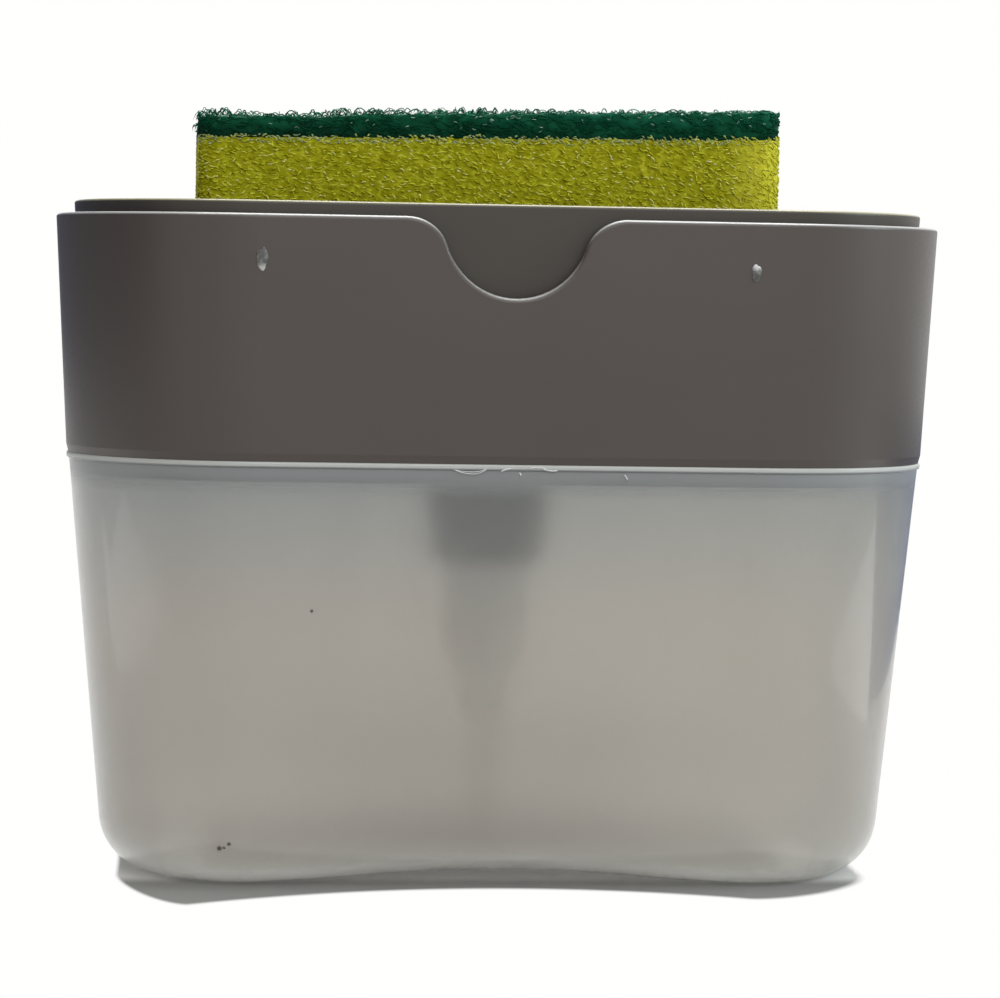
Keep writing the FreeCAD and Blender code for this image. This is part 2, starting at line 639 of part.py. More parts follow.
def make_piston_seal():
    """Soft ring in the piston's groove with a lip at each end."""
    low = PISTON_Z + PISTON_FLANGE + SEAL_FIT
    high = PISTON_TOP_Z - PISTON_FLANGE - SEAL_FIT
    inner = SEAL_GROOVE_RADIUS + SEAL_FIT
    outer = BORE_RADIUS - SEAL_BORE_CLEARANCE
    waist = outer - SEAL_LIP_SHARE * (outer - inner)
    lip = SEAL_LIP_SHARE * (high - low)
    return turned([
        (inner, low),
        (outer, low),
        (waist, low + lip),
        (waist, high - lip),
        (outer, high),
        (inner, high),
    ])


def biarc(start, start_way, end, end_way):
    """Two arcs that join two points and keep to a direction at each, as edges."""
    chord = end - start
    ways = start_way + end_way
    bend = 2 * (1 - start_way.dot(end_way))
    reach = (-chord.dot(ways) + math.sqrt(chord.dot(ways) ** 2 + bend * chord.dot(chord))) / bend
    knees = [start + reach * start_way, end - reach * end_way]
    joint = (knees[0] + knees[1]) * 0.5
    edges = []
    for first, knee, last in ((start, knees[0], joint), (joint, knees[1], end)):
        middle = (first + last) * 0.5
        half_turn = math.asin(min(1, (knee - middle).Length / (knee - first).Length))
        sagitta = (last - first).Length / 2 * math.tan(half_turn / 2)
        edges.append(Part.Arc(first, middle + (knee - middle).normalize() * sagitta, last).toShape())
    return edges


def make_return_spring():
    """Open coil of round wire between the inlet cage and the piston."""
    low = SPRING_Z + SPRING_WIRE / 2
    climb = SPRING_LENGTH - SPRING_WIRE
    quarters = 4 * SPRING_TURNS
    pitch_rate = climb / (2 * math.pi * SPRING_TURNS)

    def on_coil(quarter):
        turn = quarter * math.pi / 2
        point = Vector(SPRING_MEAN_RADIUS * math.cos(turn), SPRING_MEAN_RADIUS * math.sin(turn),
                       low + pitch_rate * turn)
        way = Vector(-SPRING_MEAN_RADIUS * math.sin(turn), SPRING_MEAN_RADIUS * math.cos(turn), pitch_rate)
        return point, way.normalize()

    edges = []
    for quarter in range(quarters):
        edges += biarc(*on_coil(quarter), *on_coil(quarter + 1))
    start, way = on_coil(0)
    section = Part.Wire(Part.makeCircle(SPRING_WIRE / 2, start, way))
    spring = Part.Wire(edges).makePipeShell([section], True, False)
    print("return_spring: least gap between turns %.2f mm" % coil_gap(edges))
    return spring


def coil_gap(edges):
    """Least distance between the wire's surfaces on neighbouring turns, measured on points."""
    points = [edge.valueAt(edge.FirstParameter) for edge in edges]
    per_turn = len(points) // SPRING_TURNS
    reach = per_turn // 2
    gaps = [(points[a] - points[b]).Length
            for a in range(len(points)) for b in range(a + reach, len(points))]
    return min(gaps) - SPRING_WIRE


def make_inlet_cage():
    """Top-hat that the spring sits on and that keeps the inlet ball near its seat."""
    hat_inner = CAGE_HAT_RADIUS - CAGE_HAT_WALL
    ceiling_z = INLET_BALL_Z + INLET_BALL_RADIUS + INLET_BALL_LIFT + BALL_CLEARANCE
    top_z = ceiling_z + CAGE_HAT_TOP
    vent_radius = CAGE_WINDOW_WIDTH / 2
    hat = turned([
        (hat_inner, BORE_FLOOR_Z),
        (BORE_RADIUS - CAGE_FIT, BORE_FLOOR_Z),
        (BORE_RADIUS - CAGE_FIT, SPRING_Z),
        (CAGE_HAT_RADIUS, SPRING_Z),
        (CAGE_HAT_RADIUS, top_z),
        (vent_radius, top_z),
        (vent_radius, ceiling_z),
        (hat_inner, ceiling_z),
    ])
    window = bar(BORE_RADIUS, CAGE_WINDOW_WIDTH, SPRING_Z, ceiling_z, BORE_RADIUS / 2 + vent_radius)
    return hat.cut(around(window, CAGE_WINDOW_COUNT))


def make_dip_tube():
    """Suction tube from the pump's socket to just above the reservoir's floor."""
    return tube(TUBE_RADIUS - TUBE_FIT, TUBE_RADIUS - TUBE_WALL, TUBE_Z, SOCKET_TOP_Z)


def make_inlet_ball():
    """Check ball at the pump's foot."""
    return Part.makeSphere(INLET_BALL_RADIUS, Vector(0, 0, INLET_BALL_Z))


def make_outlet_ball():
    """Check ball on top of the stem."""
    return Part.makeSphere(OUTLET_BALL_RADIUS, Vector(0, 0, OUTLET_BALL_Z))


def sponge_layer(low, thickness):
    """One layer of the sponge, a block with eased upright corners."""
    outline = Outline(SPONGE_WIDTH / 2, SPONGE_DEPTH / 2, SPONGE_CORNER)
    return block(outline, low, low + thickness, SPONGE_SHIFT_X, SPONGE_SHIFT_Y)


def make_foam():
    """Foam layer, lying on the tray's sponge rests."""
    return sponge_layer(SPONGE_Z, FOAM_THICKNESS)


def make_scour_pad():
    """Scouring layer on the foam, worn round along its top edges."""
    pad = sponge_layer(SPONGE_Z + FOAM_THICKNESS, PAD_THICKNESS)
    top_z = pad.BoundBox.ZMax
    return pad.makeFillet(PAD_EDGE_ROUND, [e for e in pad.Edges if e.BoundBox.ZMin > top_z - MATCH_GAP])


NODES = {
    "reservoir": make_reservoir,
    "upper_housing": make_housing,
    "press_tray": make_tray,
    "outlet_bush": make_outlet_bush,
    "outlet_ball": make_outlet_ball,
    "pump_stem": make_stem,
    "piston": make_piston,
    "piston_seal": make_piston_seal,
    "return_spring": make_return_spring,
    "pump_cylinder": make_pump_cylinder,
    "pump_nut": make_pump_nut,
    "pump_gasket": make_pump_gasket,
    "stem_guide": make_stem_guide,
    "stem_wiper": make_stem_wiper,
    "inlet_cage": make_inlet_cage,
    "inlet_ball": make_inlet_ball,
    "dip_tube": make_dip_tube,
    "sponge_foam": make_foam,
    "scour_pad": make_scour_pad,
}


def main():
    os.makedirs("parts", exist_ok=True)
    for name, make in NODES.items():
        shape = make()
        print("%-14s solids %d valid %s volume %.1f mm3" % (
            name, len(shape.Solids), shape.isValid(), shape.Volume))
        shape.exportStep("parts/%s.step" % name)


main()
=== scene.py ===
"""Studio scene of a press-top soap caddy: finishes, sponge, pump spring, light and camera.

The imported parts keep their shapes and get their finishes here. The sponge's two layers and the pump's
spring are modelled here, with the moulding marks that show on the front. Lengths are metres, and angles
are radians where a value doesn't say otherwise.
"""

import math
import random

import bpy
from mathutils import Matrix, Vector, noise


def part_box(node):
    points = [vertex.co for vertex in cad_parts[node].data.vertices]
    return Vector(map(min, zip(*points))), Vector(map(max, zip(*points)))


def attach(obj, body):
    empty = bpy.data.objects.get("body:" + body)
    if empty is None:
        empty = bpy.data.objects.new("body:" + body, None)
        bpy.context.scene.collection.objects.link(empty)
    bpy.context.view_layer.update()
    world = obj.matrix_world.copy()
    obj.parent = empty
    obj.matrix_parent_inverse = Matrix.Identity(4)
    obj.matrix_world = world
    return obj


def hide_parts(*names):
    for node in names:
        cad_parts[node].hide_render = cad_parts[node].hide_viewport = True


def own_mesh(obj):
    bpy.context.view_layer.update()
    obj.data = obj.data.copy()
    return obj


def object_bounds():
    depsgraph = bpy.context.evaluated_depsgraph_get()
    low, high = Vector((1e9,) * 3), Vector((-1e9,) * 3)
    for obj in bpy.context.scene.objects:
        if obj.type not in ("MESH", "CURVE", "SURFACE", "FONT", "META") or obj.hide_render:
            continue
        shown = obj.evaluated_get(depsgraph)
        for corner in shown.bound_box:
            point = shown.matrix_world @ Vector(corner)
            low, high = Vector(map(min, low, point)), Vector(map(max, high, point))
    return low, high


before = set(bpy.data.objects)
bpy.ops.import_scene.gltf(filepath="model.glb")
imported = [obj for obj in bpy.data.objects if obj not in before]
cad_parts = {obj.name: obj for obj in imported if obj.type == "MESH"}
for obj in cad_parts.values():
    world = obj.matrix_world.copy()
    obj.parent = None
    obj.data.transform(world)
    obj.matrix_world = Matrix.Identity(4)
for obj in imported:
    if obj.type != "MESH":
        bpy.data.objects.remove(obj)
cad_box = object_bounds()
foam_low, foam_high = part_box("sponge_foam")
pad_low, pad_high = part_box("scour_pad")

MM = 0.001
UP = Vector((0, 0, 1))

# Camera: its target, distance and lens, with its turn, tilt and roll in degrees
IMAGE_WIDTH = 1000
FOCAL_PIXELS = 3473.5
SENSOR_WIDTH = 36.0
CAMERA_TARGET = Vector((2.06, 0, 56.44)) * MM
CAMERA_DISTANCE = 550 * MM
CAMERA_YAW = 5.27
CAMERA_PITCH = 3.47
CAMERA_ROLL = 1.0

# Sponge: the round of its upright corners, and how much thicker it gets along x
SPONGE_CORNER = 3.0 * MM
SPONGE_LEAN = math.tan(math.radians(CAMERA_ROLL))

# Foam: relief of its open cells, with the tone of their edges and how far it drops inside them as painted
# shade
FOAM_SEED = 11
FOAM_STEP = 0.45 * MM
CELL_LENGTH = 1.5 * MM
CELL_HEIGHT = 0.9 * MM
CELL_OPENING = 0.5
CELL_DEPTH = 0.2 * MM
CELL_EDGE_TONE = 0.38
CELL_SHADE_DROP = 0.3

# Foam: the struts round its cells, a few bright glints among them, and the fringe along its upper edge
STRUT_ROW = 0.55 * MM
STRUT_SPACING = 1.0 * MM
STRUT_LENGTH = (0.5 * MM, 1.5 * MM)
STRUT_RADIUS = (0.12 * MM, 0.18 * MM)
STRUT_STEPS = 4
STRUT_BEND = 0.16
STRUT_TILT = math.radians(24)
STRUT_SLANTS = (math.radians(-6), math.radians(-24))
STRUT_LIFT = 0.14 * MM
STRUT_LIFT_SHARE = (0.5, 1.2)
STRUT_SINK = 0.07 * MM
STRUT_TONE = (0.5, 0.86)
GLINT_SHARE = 0.05
GLINT_LENGTH = 0.55 * MM
GLINT_TONE = 0.9
FRINGE_SPACING = 0.2 * MM
FRINGE_HEIGHT = 0.8 * MM
FRINGE_SPREAD = (-0.5, 1.0)
FRINGE_LENGTH = (0.4 * MM, 0.9 * MM)
FRINGE_TONE = 1.0
HALF_PITCH = (-0.5, 0.5)

# Foam colours by tone, and those of its patches, its cell walls and the painted light at its right end
FOAM_TONES = [
    (0.0, (0.18, 0.175, 0.0004, 1)),
    (0.3, (0.31, 0.305, 0.0008, 1)),
    (0.6, (0.50, 0.49, 0.008, 1)),
    (0.8, (0.83, 0.83, 0.08, 1)),
    (GLINT_TONE, (0.95, 0.95, 0.45, 1)),
    (FRINGE_TONE, (0.46, 0.55, 0.26, 1)),
]
FOAM_PATCH = (0.36, 0.35, 0.002, 1)
FOAM_THREAD = (0.64, 0.64, 0.035, 1)
FOAM_RIGHT_LIGHT = (0.79, 0.76, 0.06, 1)
BRIGHT_END = 10 * MM

# Scouring layer: a dark mat with bumps, worn lower on the left
PAD_SEED = 23
PAD_STEP = 0.6 * MM
PAD_BUMPS = 1.6 * MM
PAD_BUMP_LEVEL = 0.6
PAD_BUMP_DEPTH = 0.3 * MM
PAD_WEAR = (1.3 * MM, 0.35 * MM)
WEAR_PATCH = 9 * MM
WEAR_SWING = 0.4
MAT_TONE = 0.08
MAT_TONE_RISE = 0.34
MAT_TONE_ROUGH = 0.15

# Scouring layer: low fibres on the mat, loose loops over its top, and pale ends, partly worn and partly
# painted glints
MAT_TOP_FIBRES = 2400
MAT_SIDE_FIBRES = 2600
MAT_FIBRE_LENGTH = (0.9 * MM, 2.4 * MM)
MAT_FIBRE_LIFT = (0.05 * MM, 0.25 * MM)
LOOP_COUNT = 2600
LOOP_LENGTH = (0.8 * MM, 2.6 * MM)
LOOP_OVER = 0.45 * MM
LOOP_RISE = (0.25, 1.0)
LOOP_PATCH = 14 * MM
LOOP_LEVEL = 0.85
LOOP_SWING = 0.5
FIBRE_RADIUS = (0.06 * MM, 0.12 * MM)
FIBRE_STEPS = 5
FIBRE_BEND = 0.18
FIBRE_SINK = 0.12 * MM
FIBRE_TONE = (0.35, 0.75)
SIDE_FIBRE_TONE = 0.1
SIDE_FIBRE_TONE_RISE = 0.4
PALE_FIBRE_SHARE = 0.08
PALE_FIBRE_LENGTH = 0.7 * MM
PALE_FIBRE_TONE = (0.75, 1.0)
PALE_EDGE_SHARE = 0.25

# Scouring layer's colours by tone, which rises towards its right end
PAD_TONES = [
    (0.05, (0.0004, 0.021, 0.007, 1)),
    (0.4, (0.001, 0.070, 0.032, 1)),
    (0.7, (0.008, 0.14, 0.075, 1)),
    (1.0, (0.34, 0.52, 0.43, 1)),
]
PAD_RIGHT_RISE = 0.12

# Pump spring
SPRING_WIRE = 0.8 * MM
SPRING_MEAN_RADIUS = 3.9 * MM
SPRING_TURNS = 7
SPRING_STEPS = 24
SPRING_SIDES = 10
SPRING_TONE = 0.5

# Gate marks on the housing's front: where they are, their size, and the end with a painted highlight, below
# or above
GATE_MARKS = {
    "gate_mark_left": {
        "x": -37.0 * MM,
        "z": 93.4 * MM,
        "width": 2.0 * MM,
        "height": 3.3 * MM,
        "highlight_end": -1,
    },
    "gate_mark_right": {
        "x": 35.1 * MM,
        "z": 92.5 * MM,
        "width": 1.6 * MM,
        "height": 2.6 * MM,
        "highlight_end": 1,
    },
}
GATE_SEED = 5
GATE_SEED_SPREAD = 10
GATE_RINGS = 10
GATE_SIDES = 14
GATE_MARK_PROUD = 0.35 * MM
GATE_SWELL = 0.3
GATE_SWELL_SCALE = 1.4
GATE_TAPER = 0.13
GATE_DIMPLE_PLACE = 0.4
GATE_DIMPLE_WIDTH = 0.08
GATE_DIMPLE_DEPTH = 0.7
GATE_TONE = 0.52
GATE_HIGHLIGHT_RISE = 0.7
GATE_HIGHLIGHT_START = 0.4
GATE_DIMPLE_SHADE = 0.2
GATE_TONES = [
    (0.2, (0.07, 0.068, 0.065, 1)),
    (0.5, (0.13, 0.13, 0.126, 1)),
    (0.8, (0.75, 0.75, 0.74, 1)),
]

# Flash along the reservoir's lip: start, middle and end of each sliver, in millimetres, and its stoutness
FLASH_SLIVERS = [
    ((-9.0, 63.4), (-6.0, 62.6), (-3.8, 63.4), 1.0),
    ((-9.2, 63.4), (-6.1, 62.9), (-3.6, 63.5), 0.8),
    ((-1.8, 63.0), (-1.1, 63.3), (-0.2, 63.5), 1.8),
    ((2.2, 63.4), (3.6, 63.7), (5.0, 63.4), 1.5),
    ((4.3, 63.5), (5.6, 63.2), (6.6, 63.3), 1.7),
    ((0.9, 62.9), (1.1, 62.7), (1.2, 62.4), 1.6),
    ((16.4, 62.8), (16.7, 62.4), (16.9, 62.0), 1.7),
]
FLASH_RADIUS = 0.07 * MM
FLASH_STEPS = 8
FLASH_SIDES = 6
FLASH_TONE = 0.5
FLASH_COLOUR = (0.85, 0.86, 0.85, 1)

# Reservoir's wall: its lip with a band of painted shade under it, painted light over the base, and painted
# shade low in the middle
LIP_HEIGHT = 0.65 * MM
LIP_FADE = 0.1 * MM
LIP_SHADE_DEPTH = 5 * MM
LIP_SHADE_SHARE = 0.7
WARM_FROM = 0.55
BASE_LIGHT_BAND = 10 * MM
MIDDLE_SHADE_TOP = 33 * MM
MIDDLE_SHADE_FULL = 19 * MM
MIDDLE_SHADE_BOTTOM = 4 * MM
MIDDLE_SHADE_CORE = 10 * MM
MIDDLE_SHADE_HALF_WIDTH = 55 * MM

# Reservoir's colours, and its dark specks as x, z and radius
FROST_TOP_SHADE = (0.50, 0.53, 0.535, 1)
FROST_WARM = (0.66, 0.625, 0.575, 1)
FROST_CLOUD = (0.60, 0.57, 0.55, 1)
FROST_STREAK = (0.70, 0.71, 0.68, 1)
FROST_RIGHT_LIGHT = (0.80, 0.78, 0.72, 1)
FROST_BASE_LIGHT = (0.86, 0.87, 0.84, 1)
FROST_MIDDLE_SHADE = (0.50, 0.47, 0.43, 1)
LIP_SHADE_GREY = (0.36, 0.375, 0.385, 1)
LIP_PALE = (0.55, 0.56, 0.54, 1)
SPECK_BLACK = (0.02, 0.02, 0.02, 1)
TANK_SPECKS = [
    (-29.0 * MM, 42.1 * MM, 0.32 * MM),
    (-42.0 * MM, 6.4 * MM, 0.5 * MM),
    (-41.3 * MM, 6.5 * MM, 0.3 * MM),
    (-40.6 * MM, 7.1 * MM, 0.4 * MM),
]

# Grey plastics: the two tones that they drift between, the highlight painted on their edges, and their
# roughness
HOUSING_GREY = {
    "deep": (0.059, 0.047, 0.040, 1),
    "pale": (0.077, 0.062, 0.054, 1),
    "rim": (0.36, 0.36, 0.35, 1),
    "roughness": 0.38,
}
TRAY_GREY = {
    "deep": (0.033, 0.027, 0.020, 1),
    "pale": (0.043, 0.035, 0.027, 1),
    "rim": (0.30, 0.28, 0.15, 1),
    "roughness": 0.45,
}
BUSH_GREY = {
    "deep": (0.09, 0.08, 0.075, 1),
    "pale": (0.12, 0.11, 0.10, 1),
    "rim": (0.2, 0.2, 0.19, 1),
    "roughness": 0.35,
}
NUT_GREY = {
    "deep": (0.010, 0.019, 0.036, 1),
    "pale": (0.016, 0.028, 0.05, 1),
    "rim": (0.06, 0.06, 0.06, 1),
    "roughness": 0.45,
}
HOUSING_EDGE_BAND = 13 * MM
TRAY_EDGE_BAND = 1.5 * MM
EDGE_FADE = 0.2 * MM

# Pump finishes
PUMP_WHITE = (0.96, 0.955, 0.94, 1)
CYLINDER_WHITE = (0.99, 0.985, 0.975, 1)
TUBE_CLEAR = (0.98, 0.98, 0.96, 1)
TUBE_IOR = 1.12
CLOUDY_SHADE = 0.96
SEAL_TONES = ((0.55, 0.55, 0.53, 1), (0.68, 0.68, 0.65, 1))
STEEL_TONES = [
    (0.3, (0.42, 0.42, 0.43, 1)),
    (0.7, (0.66, 0.66, 0.66, 1)),
]
GRAIN_DEPTH = 0.05 * MM

# Floor: it keeps the shadow under the object, within these distances from its middle, with more shadow
# painted in front
FLOOR_SIZE = 6.0
SHADOW_HALF_WIDTH = 57.5 * MM
SHADOW_ENDS = (11 * MM, 21 * MM)
SHADOW_FRONT = 34 * MM
SHADOW_ROUND = 33 * MM
SHADOW_BULGE = 1.4
SHADOW_EDGE = (0.9, 1.03)
SHADOW_BACK = 40 * MM
SHADOW_SPREAD = 6.3
SHADOW_FADE = 2.5 * MM
SHADOW_DEEP = 22 * MM
SHADOW_GLOW = 0.07
FLOOR_PALE = (0.85, 0.845, 0.83, 1)
FLOOR_SHADE = (0.26, 0.256, 0.242, 1)

# Floor as seen through the reservoir: it glows like the backdrop, less under the arch of its base as painted
# shade
FLOOR_GLOW = 0.9
ARCH_GLOW = 0.65
ARCH_HALF_WIDTH = 45 * MM

# Surrounding: white to look at, with a softer fill light
STAGE_WHITE = (1, 1, 0.985, 1)
WORLD_FILL = 0.4

# Soft lamps: from above and behind, from the right, and a weak fill from the front
LAMPS = [
    {
        "name": "top_lamp",
        "place": (0.05, 0.12, 0.75),
        "aim": (0, 0, 0.05),
        "size": 0.5,
        "power": 5.0,
        "colour": (1, 1, 1),
    },
    {
        "name": "right_lamp",
        "place": (0.75, -0.2, 0.35),
        "aim": (0.05, 0, 0.06),
        "size": 0.3,
        "power": 2.4,
        "colour": (0.82, 0.96, 1.0),
    },
    {
        "name": "front_lamp",
        "place": (0.1, -0.9, 0.5),
        "aim": (0, 0, 0.05),
        "size": 0.6,
        "power": 3.2,
        "colour": (1, 1, 1),
    },
]

# Cards that the reservoir and the housing reflect: their x, and their outline in y and z, in millimetres
CARD_COOL = (0.55, 0.66, 1, 1)
CARD_WHITE = (1, 1, 1, 1)
CARDS = [
    {
        "name": "right_dark_card",
        "x": 165,
        "outline": [(8, 3), (320, 16), (320, 60), (-46, 60)],
        "colour": CARD_COOL,
        "strength": 0.35,
    },
    {
        "name": "right_bright_card",
        "x": 165,
        "outline": [(-24, 37), (8, 3), (11, 0), (-92, 0), (-92, 3)],
        "colour": CARD_WHITE,
        "strength": 2.2,
    },
    {
        "name": "left_bright_card",
        "x": -190,
        "outline": [(-30, 34), (-113, 0), (10, 0), (30, 10), (30, 34), (10, 22)],
        "colour": CARD_WHITE,
        "strength": 1.9,
    },
    {
        "name": "left_dark_card",
        "x": -180,
        "outline": [(-120, 60), (500, 60), (500, 350), (-120, 350)],
        "colour": CARD_COOL,
        "strength": 0.22,
    },
]


class Value:
    """A shader socket that takes part in sums. Each operator adds one Math node."""

    def __init__(self, paint, socket):
        self.paint = paint
        self.socket = socket

    def math(self, operation, first, second):
        return self.paint.node("ShaderNodeMath", {"operation": operation}, {0: first, 1: second})

    def __add__(self, other):
        return self.math("ADD", self, other)

    __radd__ = __add__

    def __sub__(self, other):
        return self.math("SUBTRACT", self, other)

    def __rsub__(self, other):
        return self.math("SUBTRACT", other, self)

    def __mul__(self, other):
        return self.math("MULTIPLY", self, other)

    __rmul__ = __mul__

    def larger(self, other):
        return self.math("MAXIMUM", self, other)

    def power(self, other):
        return self.math("POWER", self, other)

    def size(self):
        """The number without its sign."""
        return self.larger(-1 * self)

    def swing(self, width):
        """A number from 0 to 1 turned into one about 0, as wide as asked."""
        return width * (self - 0.5)


class Paint:
    """The node tree of a material or of the world, under construction."""

    def __init__(self, owner):
        owner.use_nodes = True
        self.owner = owner
        self.tree = owner.node_tree

    def node(self, kind, settings, inputs, output=0):
        """Adds a node: its type, its settings, the values or links of its sockets, and the output to use."""
        made = self.tree.nodes.new(kind)
        for name, setting in settings.items():
            if name == "stops":
                set_stops(made.color_ramp.elements, setting)
            else:
                setattr(made, name, setting)
        for key, value in inputs.items():
            self.feed(made.inputs[key], value)
        return Value(self, made.outputs[output])

    def feed(self, socket, value):
        """Links a value to a socket, or sets the socket to a number or colour."""
        if isinstance(value, Value):
            self.tree.links.new(value.socket, socket)
        else:
            socket.default_value = value

    def place(self):
        """The point on the piece, in metres."""
        return self.node("ShaderNodeTexCoord", {}, {}, "Object")

    def along(self, axis):
        """How far along an axis the point lies, in metres."""
        return self.node("ShaderNodeSeparateXYZ", {}, {0: self.place()}, axis)

    def facing_up(self):
        """1 where the piece faces up, 0 on its upright sides."""
        facing = self.node("ShaderNodeTexCoord", {}, {}, "Normal")
        return self.node("ShaderNodeSeparateXYZ", {}, {0: facing}, "Z")

    def cloud(self, scale, detail, stretch=(1, 1, 1)):
        """Soft noise from 0 to 1, with about scale patches to a metre, squeezed along the stretched axes."""
        place = self.node("ShaderNodeVectorMath", {"operation": "MULTIPLY"}, {0: self.place(), 1: stretch})
        return self.node("ShaderNodeTexNoise", {}, {"Vector": place, "Scale": scale, "Detail": detail}, "Fac")

    def cell_wall(self, cell):
        """The distance from the wall of a cell, in cells, where cell is its size along each axis."""
        spot = self.node("ShaderNodeVectorMath", {"operation": "DIVIDE"}, {0: self.place(), 1: cell})
        settings = {"feature": "DISTANCE_TO_EDGE"}
        return self.node("ShaderNodeTexVoronoi", settings, {"Vector": spot, "Scale": 1.0}, "Distance")

    def distance(self, spot):
        """The distance of the point from a spot, in metres."""
        settings = {"operation": "DISTANCE"}
        return self.node("ShaderNodeVectorMath", settings, {0: self.place(), 1: spot}, "Value")

    def ramp(self, value, stops):
        """A colour ramp over a value."""
        return self.node("ShaderNodeValToRGB", {"stops": stops}, {"Fac": value})

    def fade(self, value, start, end, low=0.0, high=1.0):
        """A smooth step from low to high while the value goes from start to end."""
        inputs = {"Value": value, "From Min": start, "From Max": end, "To Min": low, "To Max": high}
        return self.node("ShaderNodeMapRange", {"interpolation_type": "SMOOTHSTEP"}, inputs)

    def tint(self, factor, first, second):
        """A mix of two colours."""
        return self.node("ShaderNodeMix", {"data_type": "RGBA"}, {0: factor, 6: first, 7: second}, 2)

    def kept(self, name):
        """A number that a mesh keeps at each of its points."""
        return self.node("ShaderNodeAttribute", {"attribute_name": name}, {}, "Fac")

    def bump(self, height, strength):
        """A normal that follows the height of a fine grain."""
        inputs = {"Height": height, "Strength": strength, "Distance": GRAIN_DEPTH}
        return self.node("ShaderNodeBump", {}, inputs)

    def glow(self, colour, strength):
        """A shader that shines by itself."""
        return self.node("ShaderNodeEmission", {}, {"Color": colour, "Strength": strength})

    def ray(self, kind):
        """1 for rays of a kind."""
        return self.node("ShaderNodeLightPath", {}, {}, "Is %s Ray" % kind)

    def seen(self):
        """1 for rays that show the stage to the camera, straight, by gloss or through clear plastic."""
        return self.ray("Camera").larger(self.ray("Glossy")).larger(self.ray("Transmission"))


def set_stops(elements, stops):
    """Gives a colour ramp its stops, as (place, colour)."""
    while len(elements) < len(stops):
        elements.new(1.0)
    for element, (place, colour) in zip(elements, stops):
        element.position = place
        element.color = colour


class Finish(Paint):
    """A material with one Principled shader, whose even values are set at once."""

    def __init__(self, name, **even):
        super().__init__(bpy.data.materials.new(name))
        self.shader = self.tree.nodes["Principled BSDF"]
        for socket, value in even.items():
            self.shader.inputs[socket.replace("_", " ")].default_value = value

    def wear(self, **varying):
        """Links what changes over the surface to the shader."""
        for socket, value in varying.items():
            self.feed(self.shader.inputs[socket.replace("_", " ")], value)
        return self.owner

    def cover(self, factor, over):
        """Lets another shader show where the factor is 1."""
        under = Value(self, self.shader.outputs[0])
        mixed = self.node("ShaderNodeMixShader", {}, {0: factor, 1: under, 2: over})
        self.feed(self.tree.nodes["Material Output"].inputs["Surface"], mixed)


def satin_plastic(name, look, edge_z):
    """Moulded plastic with a slow drift of tone, a fine grain, and edges above a height that are glossier and
    painted paler as a highlight.
    """
    finish = Finish(name, IOR=1.5, Coat_Roughness=0.15)
    drift = finish.cloud(scale=22, detail=3.0, stretch=(1, 1, 1.6))
    grain = finish.cloud(scale=2400, detail=1.0)
    above = finish.fade(finish.along("Z"), edge_z, edge_z + EDGE_FADE)
    # Painted highlight: faces above edge_z that turn upwards take a pale colour; the tray's is a yellowish
    # reflection of the foam.
    edge = above * finish.fade(finish.facing_up(), 0.25, 0.75)
    return finish.wear(
        Base_Color=finish.tint(edge, finish.tint(drift, look["deep"], look["pale"]), look["rim"]),
        Roughness=look["roughness"] + grain.swing(0.16) + drift.swing(0.08),
        Coat_Weight=edge,
        Normal=finish.bump(grain, strength=0.12),
    )


def frosted_plastic():
    """Cloudy clear plastic of the reservoir, with painted shade, cooler and darker, at the top, streaks, dark
    specks and a paler lip.
    """
    finish = Finish("frosted_plastic", Transmission_Weight=0.85, IOR=1.46, Coat_Roughness=0.05)
    across = finish.along("X")
    height = finish.along("Z")
    seam_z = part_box("reservoir")[1].z
    cloudy = finish.cloud(scale=30, detail=3.0)
    streaks = finish.cloud(scale=110, detail=1.0, stretch=(1, 1, 0.12))
    # Painted shade: darker low in the middle, fading out towards the base and the ends.
    middle_shade = finish.fade(height, MIDDLE_SHADE_TOP, MIDDLE_SHADE_FULL) * finish.fade(height, MIDDLE_SHADE_BOTTOM, BASE_LIGHT_BAND)
    middle_shade = middle_shade * finish.fade(across.size(), MIDDLE_SHADE_HALF_WIDTH, MIDDLE_SHADE_CORE)
    # Painted shade: cooler and darker towards the top, under the housing.
    colour = finish.tint(finish.fade(height, seam_z, WARM_FROM * seam_z), FROST_TOP_SHADE, FROST_WARM)
    layers = [
        (0.4 * cloudy, FROST_CLOUD),
        (0.3 * streaks, FROST_STREAK),
        # Painted light: lighter towards the right end.
        (finish.fade(across, cad_box[0].x, cad_box[1].x, low=0, high=0.3), FROST_RIGHT_LIGHT),
        # Painted light: paler over the band at the base.
        (finish.fade(height, BASE_LIGHT_BAND, 0, low=0, high=0.7), FROST_BASE_LIGHT),
        (0.28 * middle_shade, FROST_MIDDLE_SHADE),
    ]
    for share, layer in layers:
        colour = finish.tint(share, colour, layer)
    for x, z, radius in TANK_SPECKS:
        distance = finish.distance(front_of("reservoir", x, z)[0])
        colour = finish.tint(finish.fade(distance, radius, 0.5 * radius), colour, SPECK_BLACK)
    cover_lip(finish, height, seam_z - LIP_HEIGHT)
    return finish.wear(
        Base_Color=colour,
        Roughness=0.26 + cloudy.swing(0.05),
        Coat_Weight=0.3 + 0.2 * cloudy,
    )


